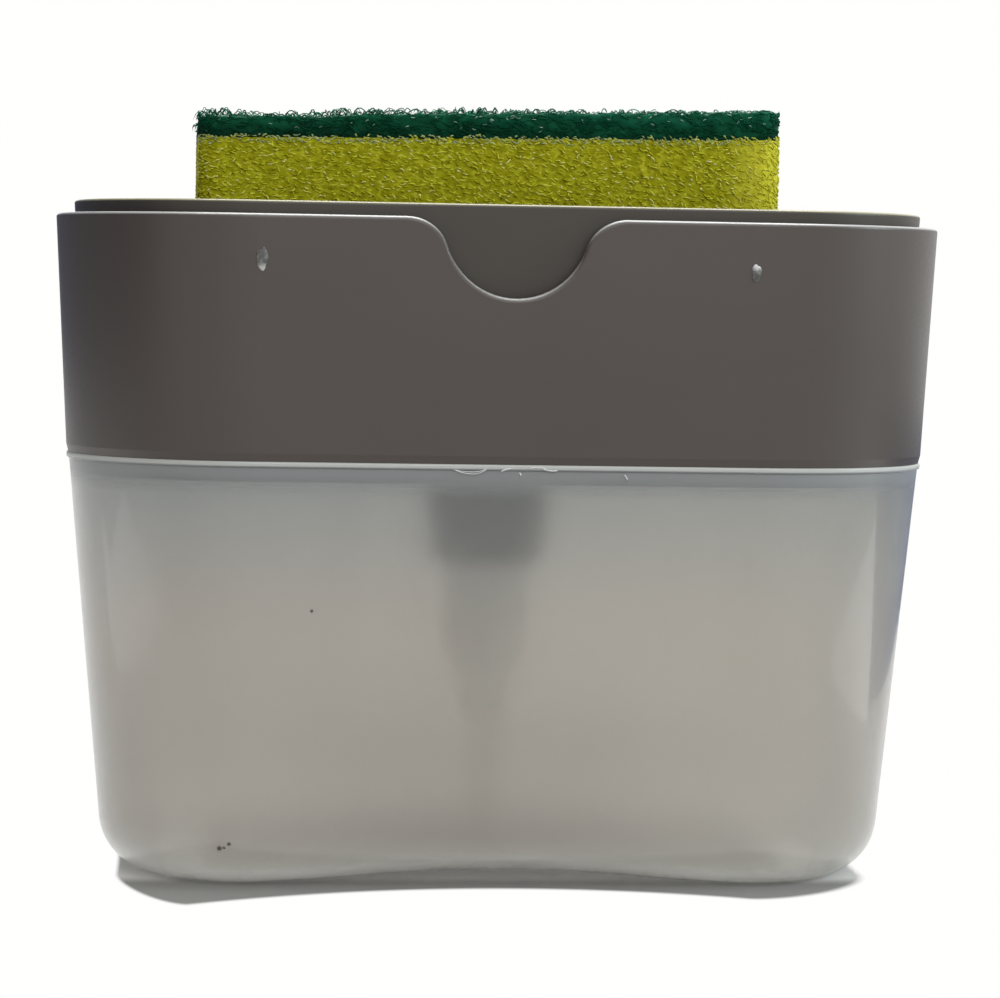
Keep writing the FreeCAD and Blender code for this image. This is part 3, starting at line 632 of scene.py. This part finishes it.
def cover_lip(finish, height, lip_z):
    """Gives the reservoir's wall its pale lip, and a grey band of painted shade under the housing that fades
    out below it.
    """
    above = finish.fade(height, lip_z - LIP_FADE, lip_z + LIP_FADE)
    # Painted shade: a grey band under the lip, fading out downwards.
    lip_shade = finish.fade(height, lip_z - LIP_SHADE_DEPTH, lip_z, low=0, high=LIP_SHADE_SHARE)
    pale = finish.tint(above, LIP_SHADE_GREY, LIP_PALE)
    lip = finish.node("ShaderNodeBsdfPrincipled", {}, {"Base Color": pale, "Roughness": 0.35})
    finish.cover(lip_shade.larger(above), lip)


def clear_plastic(name, colour, clarity, gloss, bending=1.5):
    """Natural plastic that lets some light through, with slight cloudiness."""
    finish = Finish(name, Transmission_Weight=clarity, IOR=bending)
    cloudy = finish.cloud(scale=160, detail=2.0)
    shade = tuple(CLOUDY_SHADE * part for part in colour[:3]) + (1,)
    return finish.wear(
        Base_Color=finish.tint(cloudy, colour, shade),
        Roughness=gloss + cloudy.swing(0.1),
    )


def drawn_steel(name, gloss):
    """Bright steel with fine drawing lines."""
    finish = Finish(name, Metallic=1.0)
    lines = finish.cloud(scale=700, detail=3.0, stretch=(1, 1, 6))
    return finish.wear(
        Base_Color=finish.ramp(lines, STEEL_TONES),
        Roughness=gloss + lines.swing(0.15),
    )


def soft_seal():
    """Pale soft seal material with a dull, slightly uneven skin."""
    finish = Finish("soft_seal", IOR=1.45)
    skin = finish.cloud(scale=900, detail=2.0)
    return finish.wear(
        Base_Color=finish.tint(skin, *SEAL_TONES),
        Roughness=0.6 + skin.swing(0.15),
        Normal=finish.bump(skin, strength=0.2),
    )


def foam_yellow():
    """Open-cell foam: bright struts and cell walls, cells painted darker as shade, a pale fringe and a right
    end painted brighter as light.
    """
    finish = Finish("foam_yellow", IOR=1.45, Specular_IOR_Level=0.12, Subsurface_Weight=0.1,
                    Subsurface_Radius=(1.0, 0.9, 0.1), Subsurface_Scale=1.2 * MM)
    tone = finish.kept("tone")
    patch = finish.cloud(scale=70, detail=2.0)
    wall = finish.cell_wall((CELL_LENGTH, CELL_LENGTH, CELL_HEIGHT))
    threads = finish.fade(wall, 0.16, 0.03) * finish.fade(finish.cloud(scale=650, detail=1.0), 0.4, 0.6)
    # Painted light: brighter yellow over the last BRIGHT_END of the right end.
    right_end = finish.fade(finish.along("X"), foam_high.x - BRIGHT_END, foam_high.x, low=0, high=0.8)
    colour = finish.ramp(tone, FOAM_TONES)
    colour = finish.tint(0.25 * patch, colour, FOAM_PATCH)
    colour = finish.tint(0.5 * threads, colour, FOAM_THREAD)
    colour = finish.tint(right_end, colour, FOAM_RIGHT_LIGHT)
    return finish.wear(Base_Color=colour, Roughness=0.7 - 0.4 * tone)


def scour_green():
    """Abrasive fibres: deep green, a little brighter towards the right end, some ends pale, partly worn and
    partly painted glints.
    """
    finish = Finish("scour_green", IOR=1.5, Specular_IOR_Level=0.08)
    tone = finish.kept("tone")
    patch = finish.cloud(scale=240, detail=2.0)
    rightward = finish.fade(finish.along("X"), pad_low.x, pad_high.x, low=0, high=PAD_RIGHT_RISE)
    return finish.wear(
        Base_Color=finish.ramp(tone + patch.swing(0.15) + rightward, PAD_TONES),
        Roughness=0.75 - 0.3 * tone,
    )


def gate_grey():
    """Torn plastic of the gate marks: paler than the housing, with a highlight painted at one end and shade
    in its dimple.
    """
    finish = Finish("gate_grey", IOR=1.5, Specular_IOR_Level=0.25)
    tone = finish.kept("tone") + finish.cloud(scale=1800, detail=2.0).swing(0.3)
    return finish.wear(Base_Color=finish.ramp(tone, GATE_TONES), Roughness=0.4 - 0.2 * tone)


def front_of(node, x, z):
    """The point of a part's front wall at x and z, and the way it faces there."""
    start = Vector((x, cad_box[0].y - 10 * MM, z))
    struck, point, way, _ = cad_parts[node].ray_cast(start, Vector((0, 1, 0)))
    if not struck:
        raise ValueError("no wall of %s at %.4f, %.4f" % (node, x, z))
    return point, way


def put_in_scene(name, data):
    """A new object of the scene with this mesh, lamp or camera."""
    made = bpy.data.objects.new(name, data)
    bpy.context.scene.collection.objects.link(made)
    return made


class Skin:
    """Points, faces and a tone per point of a mesh in the making."""

    def __init__(self):
        self.points = []
        self.faces = []
        self.tones = []

    def add_point(self, point, tone):
        self.points.append(point)
        self.tones.append(tone)
        return len(self.points) - 1

    def add_strand(self, line, radius, tone, sides=3):
        """A round strand with pointed ends along a line of points."""
        helper = UP if abs((line[-1] - line[0]).normalized().z) < 0.9 else Vector((1, 0, 0))
        rings = []
        for number in range(1, len(line) - 1):
            way = (line[number + 1] - line[number - 1]).normalized()
            across = way.cross(helper).normalized()
            over = across.cross(way)
            ring = []
            for side in range(sides):
                turn = 2 * math.pi * side / sides
                offset = math.cos(turn) * across + math.sin(turn) * over
                ring.append(self.add_point(line[number] + radius * offset, tone))
            rings.append(ring)
        first = self.add_point(line[0], tone)
        last = self.add_point(line[-1], tone)
        for side in range(sides):
            following = (side + 1) % sides
            self.faces.append((first, rings[0][following], rings[0][side]))
            for near, far in zip(rings[:-1], rings[1:]):
                self.faces.append((near[side], near[following], far[following], far[side]))
            self.faces.append((last, rings[-1][side], rings[-1][following]))

    def piece(self, name, body, material):
        """The finished mesh as a piece that rides on a body."""
        mesh = bpy.data.meshes.new(name)
        mesh.from_pydata(self.points, [], self.faces)
        mesh.polygons.foreach_set("use_smooth", [True] * len(self.faces))
        mesh.attributes.new("tone", "FLOAT", "POINT").data.foreach_set("value", self.tones)
        mesh.materials.append(material)
        made = put_in_scene(name, mesh)
        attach(made, body)
        return made


def round_corner(point, low, high):
    """The point drawn in where it lies in a corner of the box, so that upright corners are round."""
    core_x = min(max(point.x, low.x + SPONGE_CORNER), high.x - SPONGE_CORNER)
    core_y = min(max(point.y, low.y + SPONGE_CORNER), high.y - SPONGE_CORNER)
    off_x = point.x - core_x
    off_y = point.y - core_y
    reach = math.hypot(off_x, off_y)
    share = max(abs(off_x), abs(off_y)) / reach if reach > 0 else 0
    return Vector((core_x + share * off_x, core_y + share * off_y, point.z)), Vector((off_x, off_y, 0))


def block_skin(low, high, step):
    """Points, outward ways and faces of a block's skin on an even lattice, with round upright corners."""
    counts = [max(2, round((high[axis] - low[axis]) / step)) for axis in range(3)]
    numbers = {}
    points = []
    ways = []
    faces = []

    def number_of(key):
        if key not in numbers:
            raw = Vector(low[axis] + (high[axis] - low[axis]) * key[axis] / counts[axis] for axis in range(3))
            point, off = round_corner(raw, low, high)
            way = Vector((0, 0, (key[2] == counts[2]) - (key[2] == 0)))
            if key[0] in (0, counts[0]) or key[1] in (0, counts[1]):
                way += off.normalized()
            numbers[key] = len(points)
            points.append(point)
            ways.append(way.normalized())
        return numbers[key]

    for axis in range(3):
        second, third = (axis + 1) % 3, (axis + 2) % 3
        for level in (0, counts[axis]):
            for a in range(counts[second]):
                for b in range(counts[third]):
                    quad = []
                    for u, v in ((a, b), (a + 1, b), (a + 1, b + 1), (a, b + 1)):
                        key = [0, 0, 0]
                        key[axis], key[second], key[third] = level, u, v
                        quad.append(number_of(tuple(key)))
                    faces.append(quad if level else quad[::-1])
    return points, ways, faces


def side_spot(share, z, low, high):
    """The point at a height and at a share of the way round a block's upright sides, and the way it faces."""
    size = high - low
    run = 2 * (size.x + size.y) * (share % 1)
    if run < size.x:
        x, y = low.x + run, low.y
    elif run < size.x + size.y:
        x, y = high.x, low.y + run - size.x
    elif run < 2 * size.x + size.y:
        x, y = high.x + size.x + size.y - run, high.y
    else:
        x, y = low.x, high.y + 2 * size.x + size.y - run
    point, off = round_corner(Vector((x, y, z)), low, high)
    return point, off.normalized()


def curved_line(middle, way, out, length, bend, lift, sink, steps):
    """Points of a short curved strand: it bends sideways by bend and stands off by lift in its middle."""
    sideways = out.cross(way)
    line = []
    for number in range(steps + 1):
        t = number / steps - 0.5
        arch = 1 - 4 * t * t
        spread = way * (length * t) + sideways * (bend * length * arch)
        line.append(middle + spread + out * (lift * arch - sink))
    return line


def way_along(out, tilt):
    """The way along an upright side that faces out, tilted up from the level."""
    return UP.cross(out) * math.cos(tilt) + UP * math.sin(tilt)


def lean(skin):
    """Makes the sponge a little thicker towards its right end."""
    height = pad_high.z - foam_low.z
    middle_x = (foam_low.x + foam_high.x) / 2
    for point in skin.points:
        share = max(0, (point.z - foam_low.z) / height)
        point.z += SPONGE_LEAN * (point.x - middle_x) * min(1, share)


def foam_relief(point):
    """How far a point lies inside an open cell: 0 on its edge, 1 well inside."""
    near, far = noise.voronoi((point.x / CELL_LENGTH, point.y / CELL_LENGTH, point.z / CELL_HEIGHT))[0][:2]
    return min(1, (far - near) / CELL_OPENING)


def add_strut(skin, draw, middle, out, length, tone):
    """A bright strut on the foam's side, which slants more towards the right end."""
    share = (middle.x - foam_low.x) / (foam_high.x - foam_low.x)
    slant = STRUT_SLANTS[0] + (STRUT_SLANTS[1] - STRUT_SLANTS[0]) * share
    along = way_along(out, draw.gauss(slant, STRUT_TILT))
    lift = STRUT_LIFT * draw.uniform(*STRUT_LIFT_SHARE)
    bend = draw.gauss(0, STRUT_BEND)
    line = curved_line(middle, along, out, length, bend, lift, STRUT_SINK, STRUT_STEPS)
    skin.add_strand(line, draw.uniform(*STRUT_RADIUS), tone)


def make_foam(material):
    """The foam layer: a block with open cells all over, bright struts on its sides and a torn upper edge."""
    draw = random.Random(FOAM_SEED)
    low, high = foam_low, foam_high
    size = high - low
    skin = Skin()
    points, ways, skin.faces = block_skin(low, high, FOAM_STEP)
    for point, way in zip(points, ways):
        hollow = foam_relief(point)
        # Painted shade: the tone drops the deeper the point lies in an open cell.
        skin.add_point(point - way * (CELL_DEPTH * hollow), CELL_EDGE_TONE - CELL_SHADE_DROP * hollow)
    round_trip = 2 * (size.x + size.y)
    rows = round(size.z / STRUT_ROW)
    columns = round(round_trip / STRUT_SPACING)
    for row in range(rows):
        for column in range(columns):
            share = (column + draw.uniform(*HALF_PITCH)) / columns
            z = low.z + size.z * (row + draw.uniform(0, 1)) / rows
            middle, out = side_spot(share, z, low, high)
            length = draw.uniform(*STRUT_LENGTH)
            tone = draw.uniform(*STRUT_TONE)
            if draw.random() < GLINT_SHARE:
                length, tone = GLINT_LENGTH, GLINT_TONE
            add_strut(skin, draw, middle, out, length, tone)
    fringes = round(round_trip / FRINGE_SPACING)
    for number in range(fringes):
        z = high.z - draw.uniform(*FRINGE_SPREAD) * FRINGE_HEIGHT
        middle, out = side_spot((number + draw.uniform(*HALF_PITCH)) / fringes, z, low, high)
        add_strut(skin, draw, middle, out, draw.uniform(*FRINGE_LENGTH), FRINGE_TONE)
    lean(skin)
    foam = skin.piece("foam_layer", "sponge", material)
    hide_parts("sponge_foam")


def pad_wear(point):
    """How far the mat's worn top lies below the pad's full height, over a point."""
    share = (point.x - pad_low.x) / (pad_high.x - pad_low.x)
    wear = PAD_WEAR[0] + (PAD_WEAR[1] - PAD_WEAR[0]) * share
    return wear * (1 + WEAR_SWING * noise.noise(Vector((point.x, point.y, 0)) / WEAR_PATCH))


def add_mat(skin):
    """The close-packed dark mat of the scouring layer, with a rough skin."""
    low, high = pad_low, pad_high
    points, ways, skin.faces = block_skin(low, high, PAD_STEP)
    for point, way in zip(points, ways):
        share = (point.z - low.z) / (high.z - low.z)
        rough = noise.fractal(point / PAD_BUMPS, 0.8, 2.0, 3)
        inwards = PAD_BUMP_DEPTH * (PAD_BUMP_LEVEL - rough) if share > 0 else 0
        worn = point - UP * (pad_wear(point) * share)
        skin.add_point(worn - way * inwards, MAT_TONE + MAT_TONE_RISE * share + MAT_TONE_ROUGH * rough)


def add_fibre(skin, draw, middle, way, out, length, lift, tone):
    """A curved fibre of the scouring layer, kept above the foam."""
    line = curved_line(middle, way, out, length, draw.gauss(0, FIBRE_BEND), lift, FIBRE_SINK, FIBRE_STEPS)
    for point in line:
        point.z = max(point.z, pad_low.z + FIBRE_SINK)
    skin.add_strand(line, draw.uniform(*FIBRE_RADIUS), tone)


def add_top_fibres(skin, draw):
    """Low fibres on the mat's top, and then loose loops over it."""
    low, high = pad_low, pad_high
    for number in range(MAT_TOP_FIBRES + LOOP_COUNT):
        raw = Vector((draw.uniform(low.x, high.x), draw.uniform(low.y, high.y), high.z))
        middle = round_corner(raw, low, high)[0]
        wear = pad_wear(middle)
        middle.z -= wear
        heading = draw.uniform(0, 2 * math.pi)
        way = Vector((math.cos(heading), math.sin(heading), 0))
        length = draw.uniform(*MAT_FIBRE_LENGTH)
        lift = draw.uniform(*MAT_FIBRE_LIFT)
        if number >= MAT_TOP_FIBRES:
            length = draw.uniform(*LOOP_LENGTH)
            patch = LOOP_LEVEL + LOOP_SWING * noise.noise(middle / LOOP_PATCH)
            lift = (wear + LOOP_OVER) * draw.uniform(*LOOP_RISE) * patch
        # Pale fibres: partly worn ends, partly painted glints.
        pale = draw.random() < PALE_FIBRE_SHARE
        tone = draw.uniform(*PALE_FIBRE_TONE) if pale else draw.uniform(*FIBRE_TONE)
        add_fibre(skin, draw, middle, way, UP, length, lift, tone)


def add_side_fibres(skin, draw):
    """Fibres along the mat's sides, darker low down, with pale ends near the upper edge."""
    low, high = pad_low, pad_high
    for _ in range(MAT_SIDE_FIBRES):
        height = draw.uniform(0, 1)
        middle, out = side_spot(draw.random(), low.z, low, high)
        middle.z += height * (high.z - low.z - pad_wear(middle))
        way = way_along(out, draw.gauss(0, STRUT_TILT))
        length = draw.uniform(*MAT_FIBRE_LENGTH)
        tone = SIDE_FIBRE_TONE + SIDE_FIBRE_TONE_RISE * height
        if draw.random() < PALE_EDGE_SHARE * height * height:
            length, tone = PALE_FIBRE_LENGTH, draw.uniform(*PALE_FIBRE_TONE)
        add_fibre(skin, draw, middle, way, out, length, draw.uniform(*MAT_FIBRE_LIFT), tone)


def make_pad(material):
    """The scouring layer: a rough mat, low fibres on it and loose loops over its top."""
    draw = random.Random(PAD_SEED)
    skin = Skin()
    add_mat(skin)
    add_top_fibres(skin, draw)
    add_side_fibres(skin, draw)
    lean(skin)
    pad = skin.piece("scouring_layer", "sponge", material)
    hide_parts("scour_pad")


def make_spring(material):
    """The pump's return spring, a coil of wire."""
    low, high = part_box("return_spring")
    height = high.z - low.z
    steps = SPRING_TURNS * SPRING_STEPS
    line = []
    for number in range(steps + 1):
        turn = 2 * math.pi * number / SPRING_STEPS
        z = low.z + SPRING_WIRE / 2 + (height - SPRING_WIRE) * number / steps
        line.append(Vector((SPRING_MEAN_RADIUS * math.cos(turn), SPRING_MEAN_RADIUS * math.sin(turn), z)))
    skin = Skin()
    skin.add_strand(line, SPRING_WIRE / 2, SPRING_TONE, SPRING_SIDES)
    spring = skin.piece("pump_spring", "housing", material)
    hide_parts("return_spring")
    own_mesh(spring)


def make_gate_mark(name, mark, seed, material):
    """A small torn blister that the moulding left on the housing's front, narrower at its lower end."""
    centre, out = front_of("upper_housing", mark["x"], mark["z"])
    across = UP.cross(out).normalized()
    upwards = out.cross(across)
    skin = Skin()

    def at(polar, turn):
        unit = Vector((math.sin(polar) * math.cos(turn), math.sin(polar) * math.sin(turn), math.cos(polar)))
        swell = 1 + GATE_SWELL * noise.noise(unit * GATE_SWELL_SCALE + seed)
        narrow = 1 - GATE_TAPER + GATE_TAPER * unit.z
        off_dimple = (unit.z + GATE_DIMPLE_PLACE * mark["highlight_end"]) ** 2 + unit.x ** 2
        dimple = math.exp(-off_dimple / GATE_DIMPLE_WIDTH)
        offset = across * (unit.x * narrow * mark["width"] / 2)
        offset += out * (unit.y * (1 - GATE_DIMPLE_DEPTH * dimple) * GATE_MARK_PROUD)
        offset += upwards * (unit.z * mark["height"] / 2)
        # Painted highlight towards one end, and painted shade in the dimple.
        bright = max(0, unit.z * mark["highlight_end"] - GATE_HIGHLIGHT_START)
        tone = GATE_TONE + GATE_HIGHLIGHT_RISE * bright - GATE_DIMPLE_SHADE * dimple
        return skin.add_point(centre + swell * offset, tone)

    grid = [[at(math.pi * ring / GATE_RINGS, 2 * math.pi * side / GATE_SIDES) for side in range(GATE_SIDES)]
            for ring in range(1, GATE_RINGS)]
    top = at(0, 0)
    bottom = at(math.pi, 0)
    for side in range(GATE_SIDES):
        following = (side + 1) % GATE_SIDES
        skin.faces.append((top, grid[0][side], grid[0][following]))
        for upper, lower in zip(grid[:-1], grid[1:]):
            skin.faces.append((upper[side], lower[side], lower[following], upper[following]))
        skin.faces.append((bottom, grid[-1][following], grid[-1][side]))
    skin.piece(name, "housing", material)


def make_gate_marks(material):
    """The two gate marks, each torn in its own way."""
    draw = random.Random(GATE_SEED)
    for name, mark in GATE_MARKS.items():
        seed = Vector((draw.random(), draw.random(), draw.random())) * GATE_SEED_SPREAD
        make_gate_mark(name, mark, seed, material)


def make_lip_flash(material):
    """Slivers of moulding flash along the reservoir's lip, each a curve through its middle."""
    front_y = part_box("reservoir")[0].y - FLASH_RADIUS / 2
    skin = Skin()
    for start, middle, end, stoutness in FLASH_SLIVERS:
        line = []
        for number in range(FLASH_STEPS + 1):
            t = number / FLASH_STEPS
            x, z = ((1 - t) ** 2 * a + 2 * t * (1 - t) * (2 * b - (a + c) / 2) + t * t * c
                    for a, b, c in zip(start, middle, end))
            line.append(Vector((x * MM, front_y, z * MM)))
        skin.add_strand(line, FLASH_RADIUS * stoutness, FLASH_TONE, FLASH_SIDES)
    skin.piece("lip_flash", "reservoir", material)


def dress_parts():
    """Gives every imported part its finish."""
    housing_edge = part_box("upper_housing")[1].z - HOUSING_EDGE_BAND
    tray_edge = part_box("press_tray")[1].z - TRAY_EDGE_BAND
    pump_white = clear_plastic("pump_white", PUMP_WHITE, clarity=0.05, gloss=0.5)
    seal = soft_seal()
    ball = drawn_steel("ball_steel", gloss=0.18)
    finishes = {
        "reservoir": frosted_plastic(),
        "upper_housing": satin_plastic("housing_grey", HOUSING_GREY, housing_edge),
        "press_tray": satin_plastic("tray_grey", TRAY_GREY, tray_edge),
        "outlet_bush": satin_plastic("bush_grey", BUSH_GREY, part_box("outlet_bush")[1].z),
        "pump_nut": satin_plastic("nut_grey", NUT_GREY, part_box("pump_nut")[1].z),
        "pump_cylinder": clear_plastic("cylinder_milky", CYLINDER_WHITE, clarity=0.05, gloss=0.6),
        "dip_tube": clear_plastic("tube_clear", TUBE_CLEAR, clarity=0.95, gloss=0.25, bending=TUBE_IOR),
        "pump_stem": pump_white,
        "piston": pump_white,
        "stem_guide": pump_white,
        "inlet_cage": pump_white,
        "piston_seal": seal,
        "pump_gasket": seal,
        "stem_wiper": seal,
        "outlet_ball": ball,
        "inlet_ball": ball,
    }
    for node, material in finishes.items():
        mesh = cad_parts[node].data
        mesh.materials.clear()
        mesh.materials.append(material)


def shadow_ends(paint, x, y):
    """0 where the floor keeps the shadow, 1 beyond its rounded ends and front and behind the object."""
    left_end, right_end = SHADOW_ENDS
    start = paint.fade(x, -right_end, right_end, SHADOW_HALF_WIDTH - left_end, SHADOW_HALF_WIDTH - right_end)
    sharpness = paint.fade(x, -right_end, right_end, 1 / left_end, 1 / right_end)
    beside = (x.size() - start).larger(0.0) * sharpness
    before = -1 * y - SHADOW_SPREAD * x * x - (SHADOW_FRONT - SHADOW_ROUND)
    before = before.larger(0.0) * (1 / SHADOW_ROUND)
    beyond = paint.fade(beside.power(SHADOW_BULGE) + before.power(SHADOW_BULGE), *SHADOW_EDGE)
    return beyond.larger(paint.fade(y, SHADOW_BACK - SHADOW_FADE, SHADOW_BACK))


def make_floor():
    """A pale floor that keeps the shadow near the object, with more shadow painted into its colour in front,
    and is white further off.
    """
    half = FLOOR_SIZE / 2
    corners = [(-half, -half, 0), (half, -half, 0), (half, half, 0), (-half, half, 0)]
    mesh = bpy.data.meshes.new("floor")
    mesh.from_pydata(corners, [], [(0, 1, 2, 3)])
    put_in_scene("floor", mesh)
    paint = Finish("floor_white", Roughness=0.9, Specular_IOR_Level=0.0)
    mesh.materials.append(paint.owner)
    x = paint.along("X")
    y = paint.along("Y")
    white = shadow_ends(paint, x, y).larger(SHADOW_GLOW) * paint.seen()
    # Painted shade: the floor glows less through the reservoir under the arch of its base.
    inner_glow = paint.fade(x.size(), 0, ARCH_HALF_WIDTH, ARCH_GLOW, FLOOR_GLOW)
    paint.cover(white.larger(inner_glow * paint.ray("Transmission")), paint.glow(STAGE_WHITE, 1.0))
    # Painted shadow: the floor's own colour darkens in front of the object.
    depth = paint.fade(-1 * y, SHADOW_DEEP, SHADOW_DEEP + 3 * SHADOW_FADE)
    paint.wear(Base_Color=paint.tint(depth, FLOOR_PALE, FLOOR_SHADE))


def light_world():
    """A white surrounding to look at, and a softer fill light from it."""
    world = bpy.data.worlds.new("studio")
    bpy.context.scene.world = world
    paint = Paint(world)
    back = paint.tree.nodes["Background"]
    paint.feed(back.inputs["Color"], STAGE_WHITE)
    paint.feed(back.inputs["Strength"], WORLD_FILL + (1 - WORLD_FILL) * paint.seen())


def add_lamp(name, place, aim, size, power, colour):
    """A soft square lamp at a place, turned to its aim."""
    lamp = bpy.data.lights.new(name, "AREA")
    lamp.size = size
    lamp.energy = power
    lamp.color = colour
    made = put_in_scene(name, lamp)
    made.location = place
    made.rotation_euler = (Vector(aim) - Vector(place)).to_track_quat("-Z", "Y").to_euler()


def add_card(name, x, outline, colour, strength):
    """An upright card beside the object, drawn by its corners, that shows only in its gloss."""
    mesh = bpy.data.meshes.new(name)
    corners = [Vector((x, y, z)) * MM for y, z in outline]
    mesh.from_pydata(corners, [], [tuple(range(len(corners)))])
    card = put_in_scene(name, mesh)
    card.visible_camera = False
    card.visible_diffuse = False
    card.visible_transmission = False
    card.visible_shadow = False
    paint = Paint(bpy.data.materials.new(name))
    paint.feed(paint.tree.nodes["Material Output"].inputs["Surface"], paint.glow(colour, strength))
    mesh.materials.append(paint.owner)


def add_camera():
    """The camera, at the place and turn that show the object from the front and a little from the left."""
    yaw, pitch, roll = (math.radians(angle) for angle in (CAMERA_YAW, CAMERA_PITCH, CAMERA_ROLL))
    forward = Vector((math.sin(yaw) * math.cos(pitch), math.cos(yaw) * math.cos(pitch), -math.sin(pitch)))
    level = Vector((math.cos(yaw), -math.sin(yaw), 0))
    upright = level.cross(forward)
    right = math.cos(roll) * level + math.sin(roll) * upright
    up = math.cos(roll) * upright - math.sin(roll) * level
    camera = bpy.data.cameras.new("camera")
    camera.sensor_fit = "HORIZONTAL"
    camera.sensor_width = SENSOR_WIDTH
    camera.lens = FOCAL_PIXELS * SENSOR_WIDTH / IMAGE_WIDTH
    made = put_in_scene("camera", camera)
    turn = Matrix((right, up, -forward)).transposed().to_4x4()
    made.matrix_world = Matrix.Translation(CAMERA_TARGET - CAMERA_DISTANCE * forward) @ turn
    bpy.context.scene.camera = made


def main():
    """Dresses the parts, models what the scene adds and sets the stage."""
    bpy.context.scene.view_settings.view_transform = "Standard"
    bpy.context.view_layer.update()
    dress_parts()
    make_foam(foam_yellow())
    make_pad(scour_green())
    make_spring(drawn_steel("spring_steel", gloss=0.28))
    make_gate_marks(gate_grey())
    make_lip_flash(clear_plastic("flash_clear", FLASH_COLOUR, clarity=0.3, gloss=0.3))
    make_floor()
    light_world()
    for lamp in LAMPS:
        add_lamp(**lamp)
    for card in CARDS:
        add_card(**card)
    add_camera()


main()
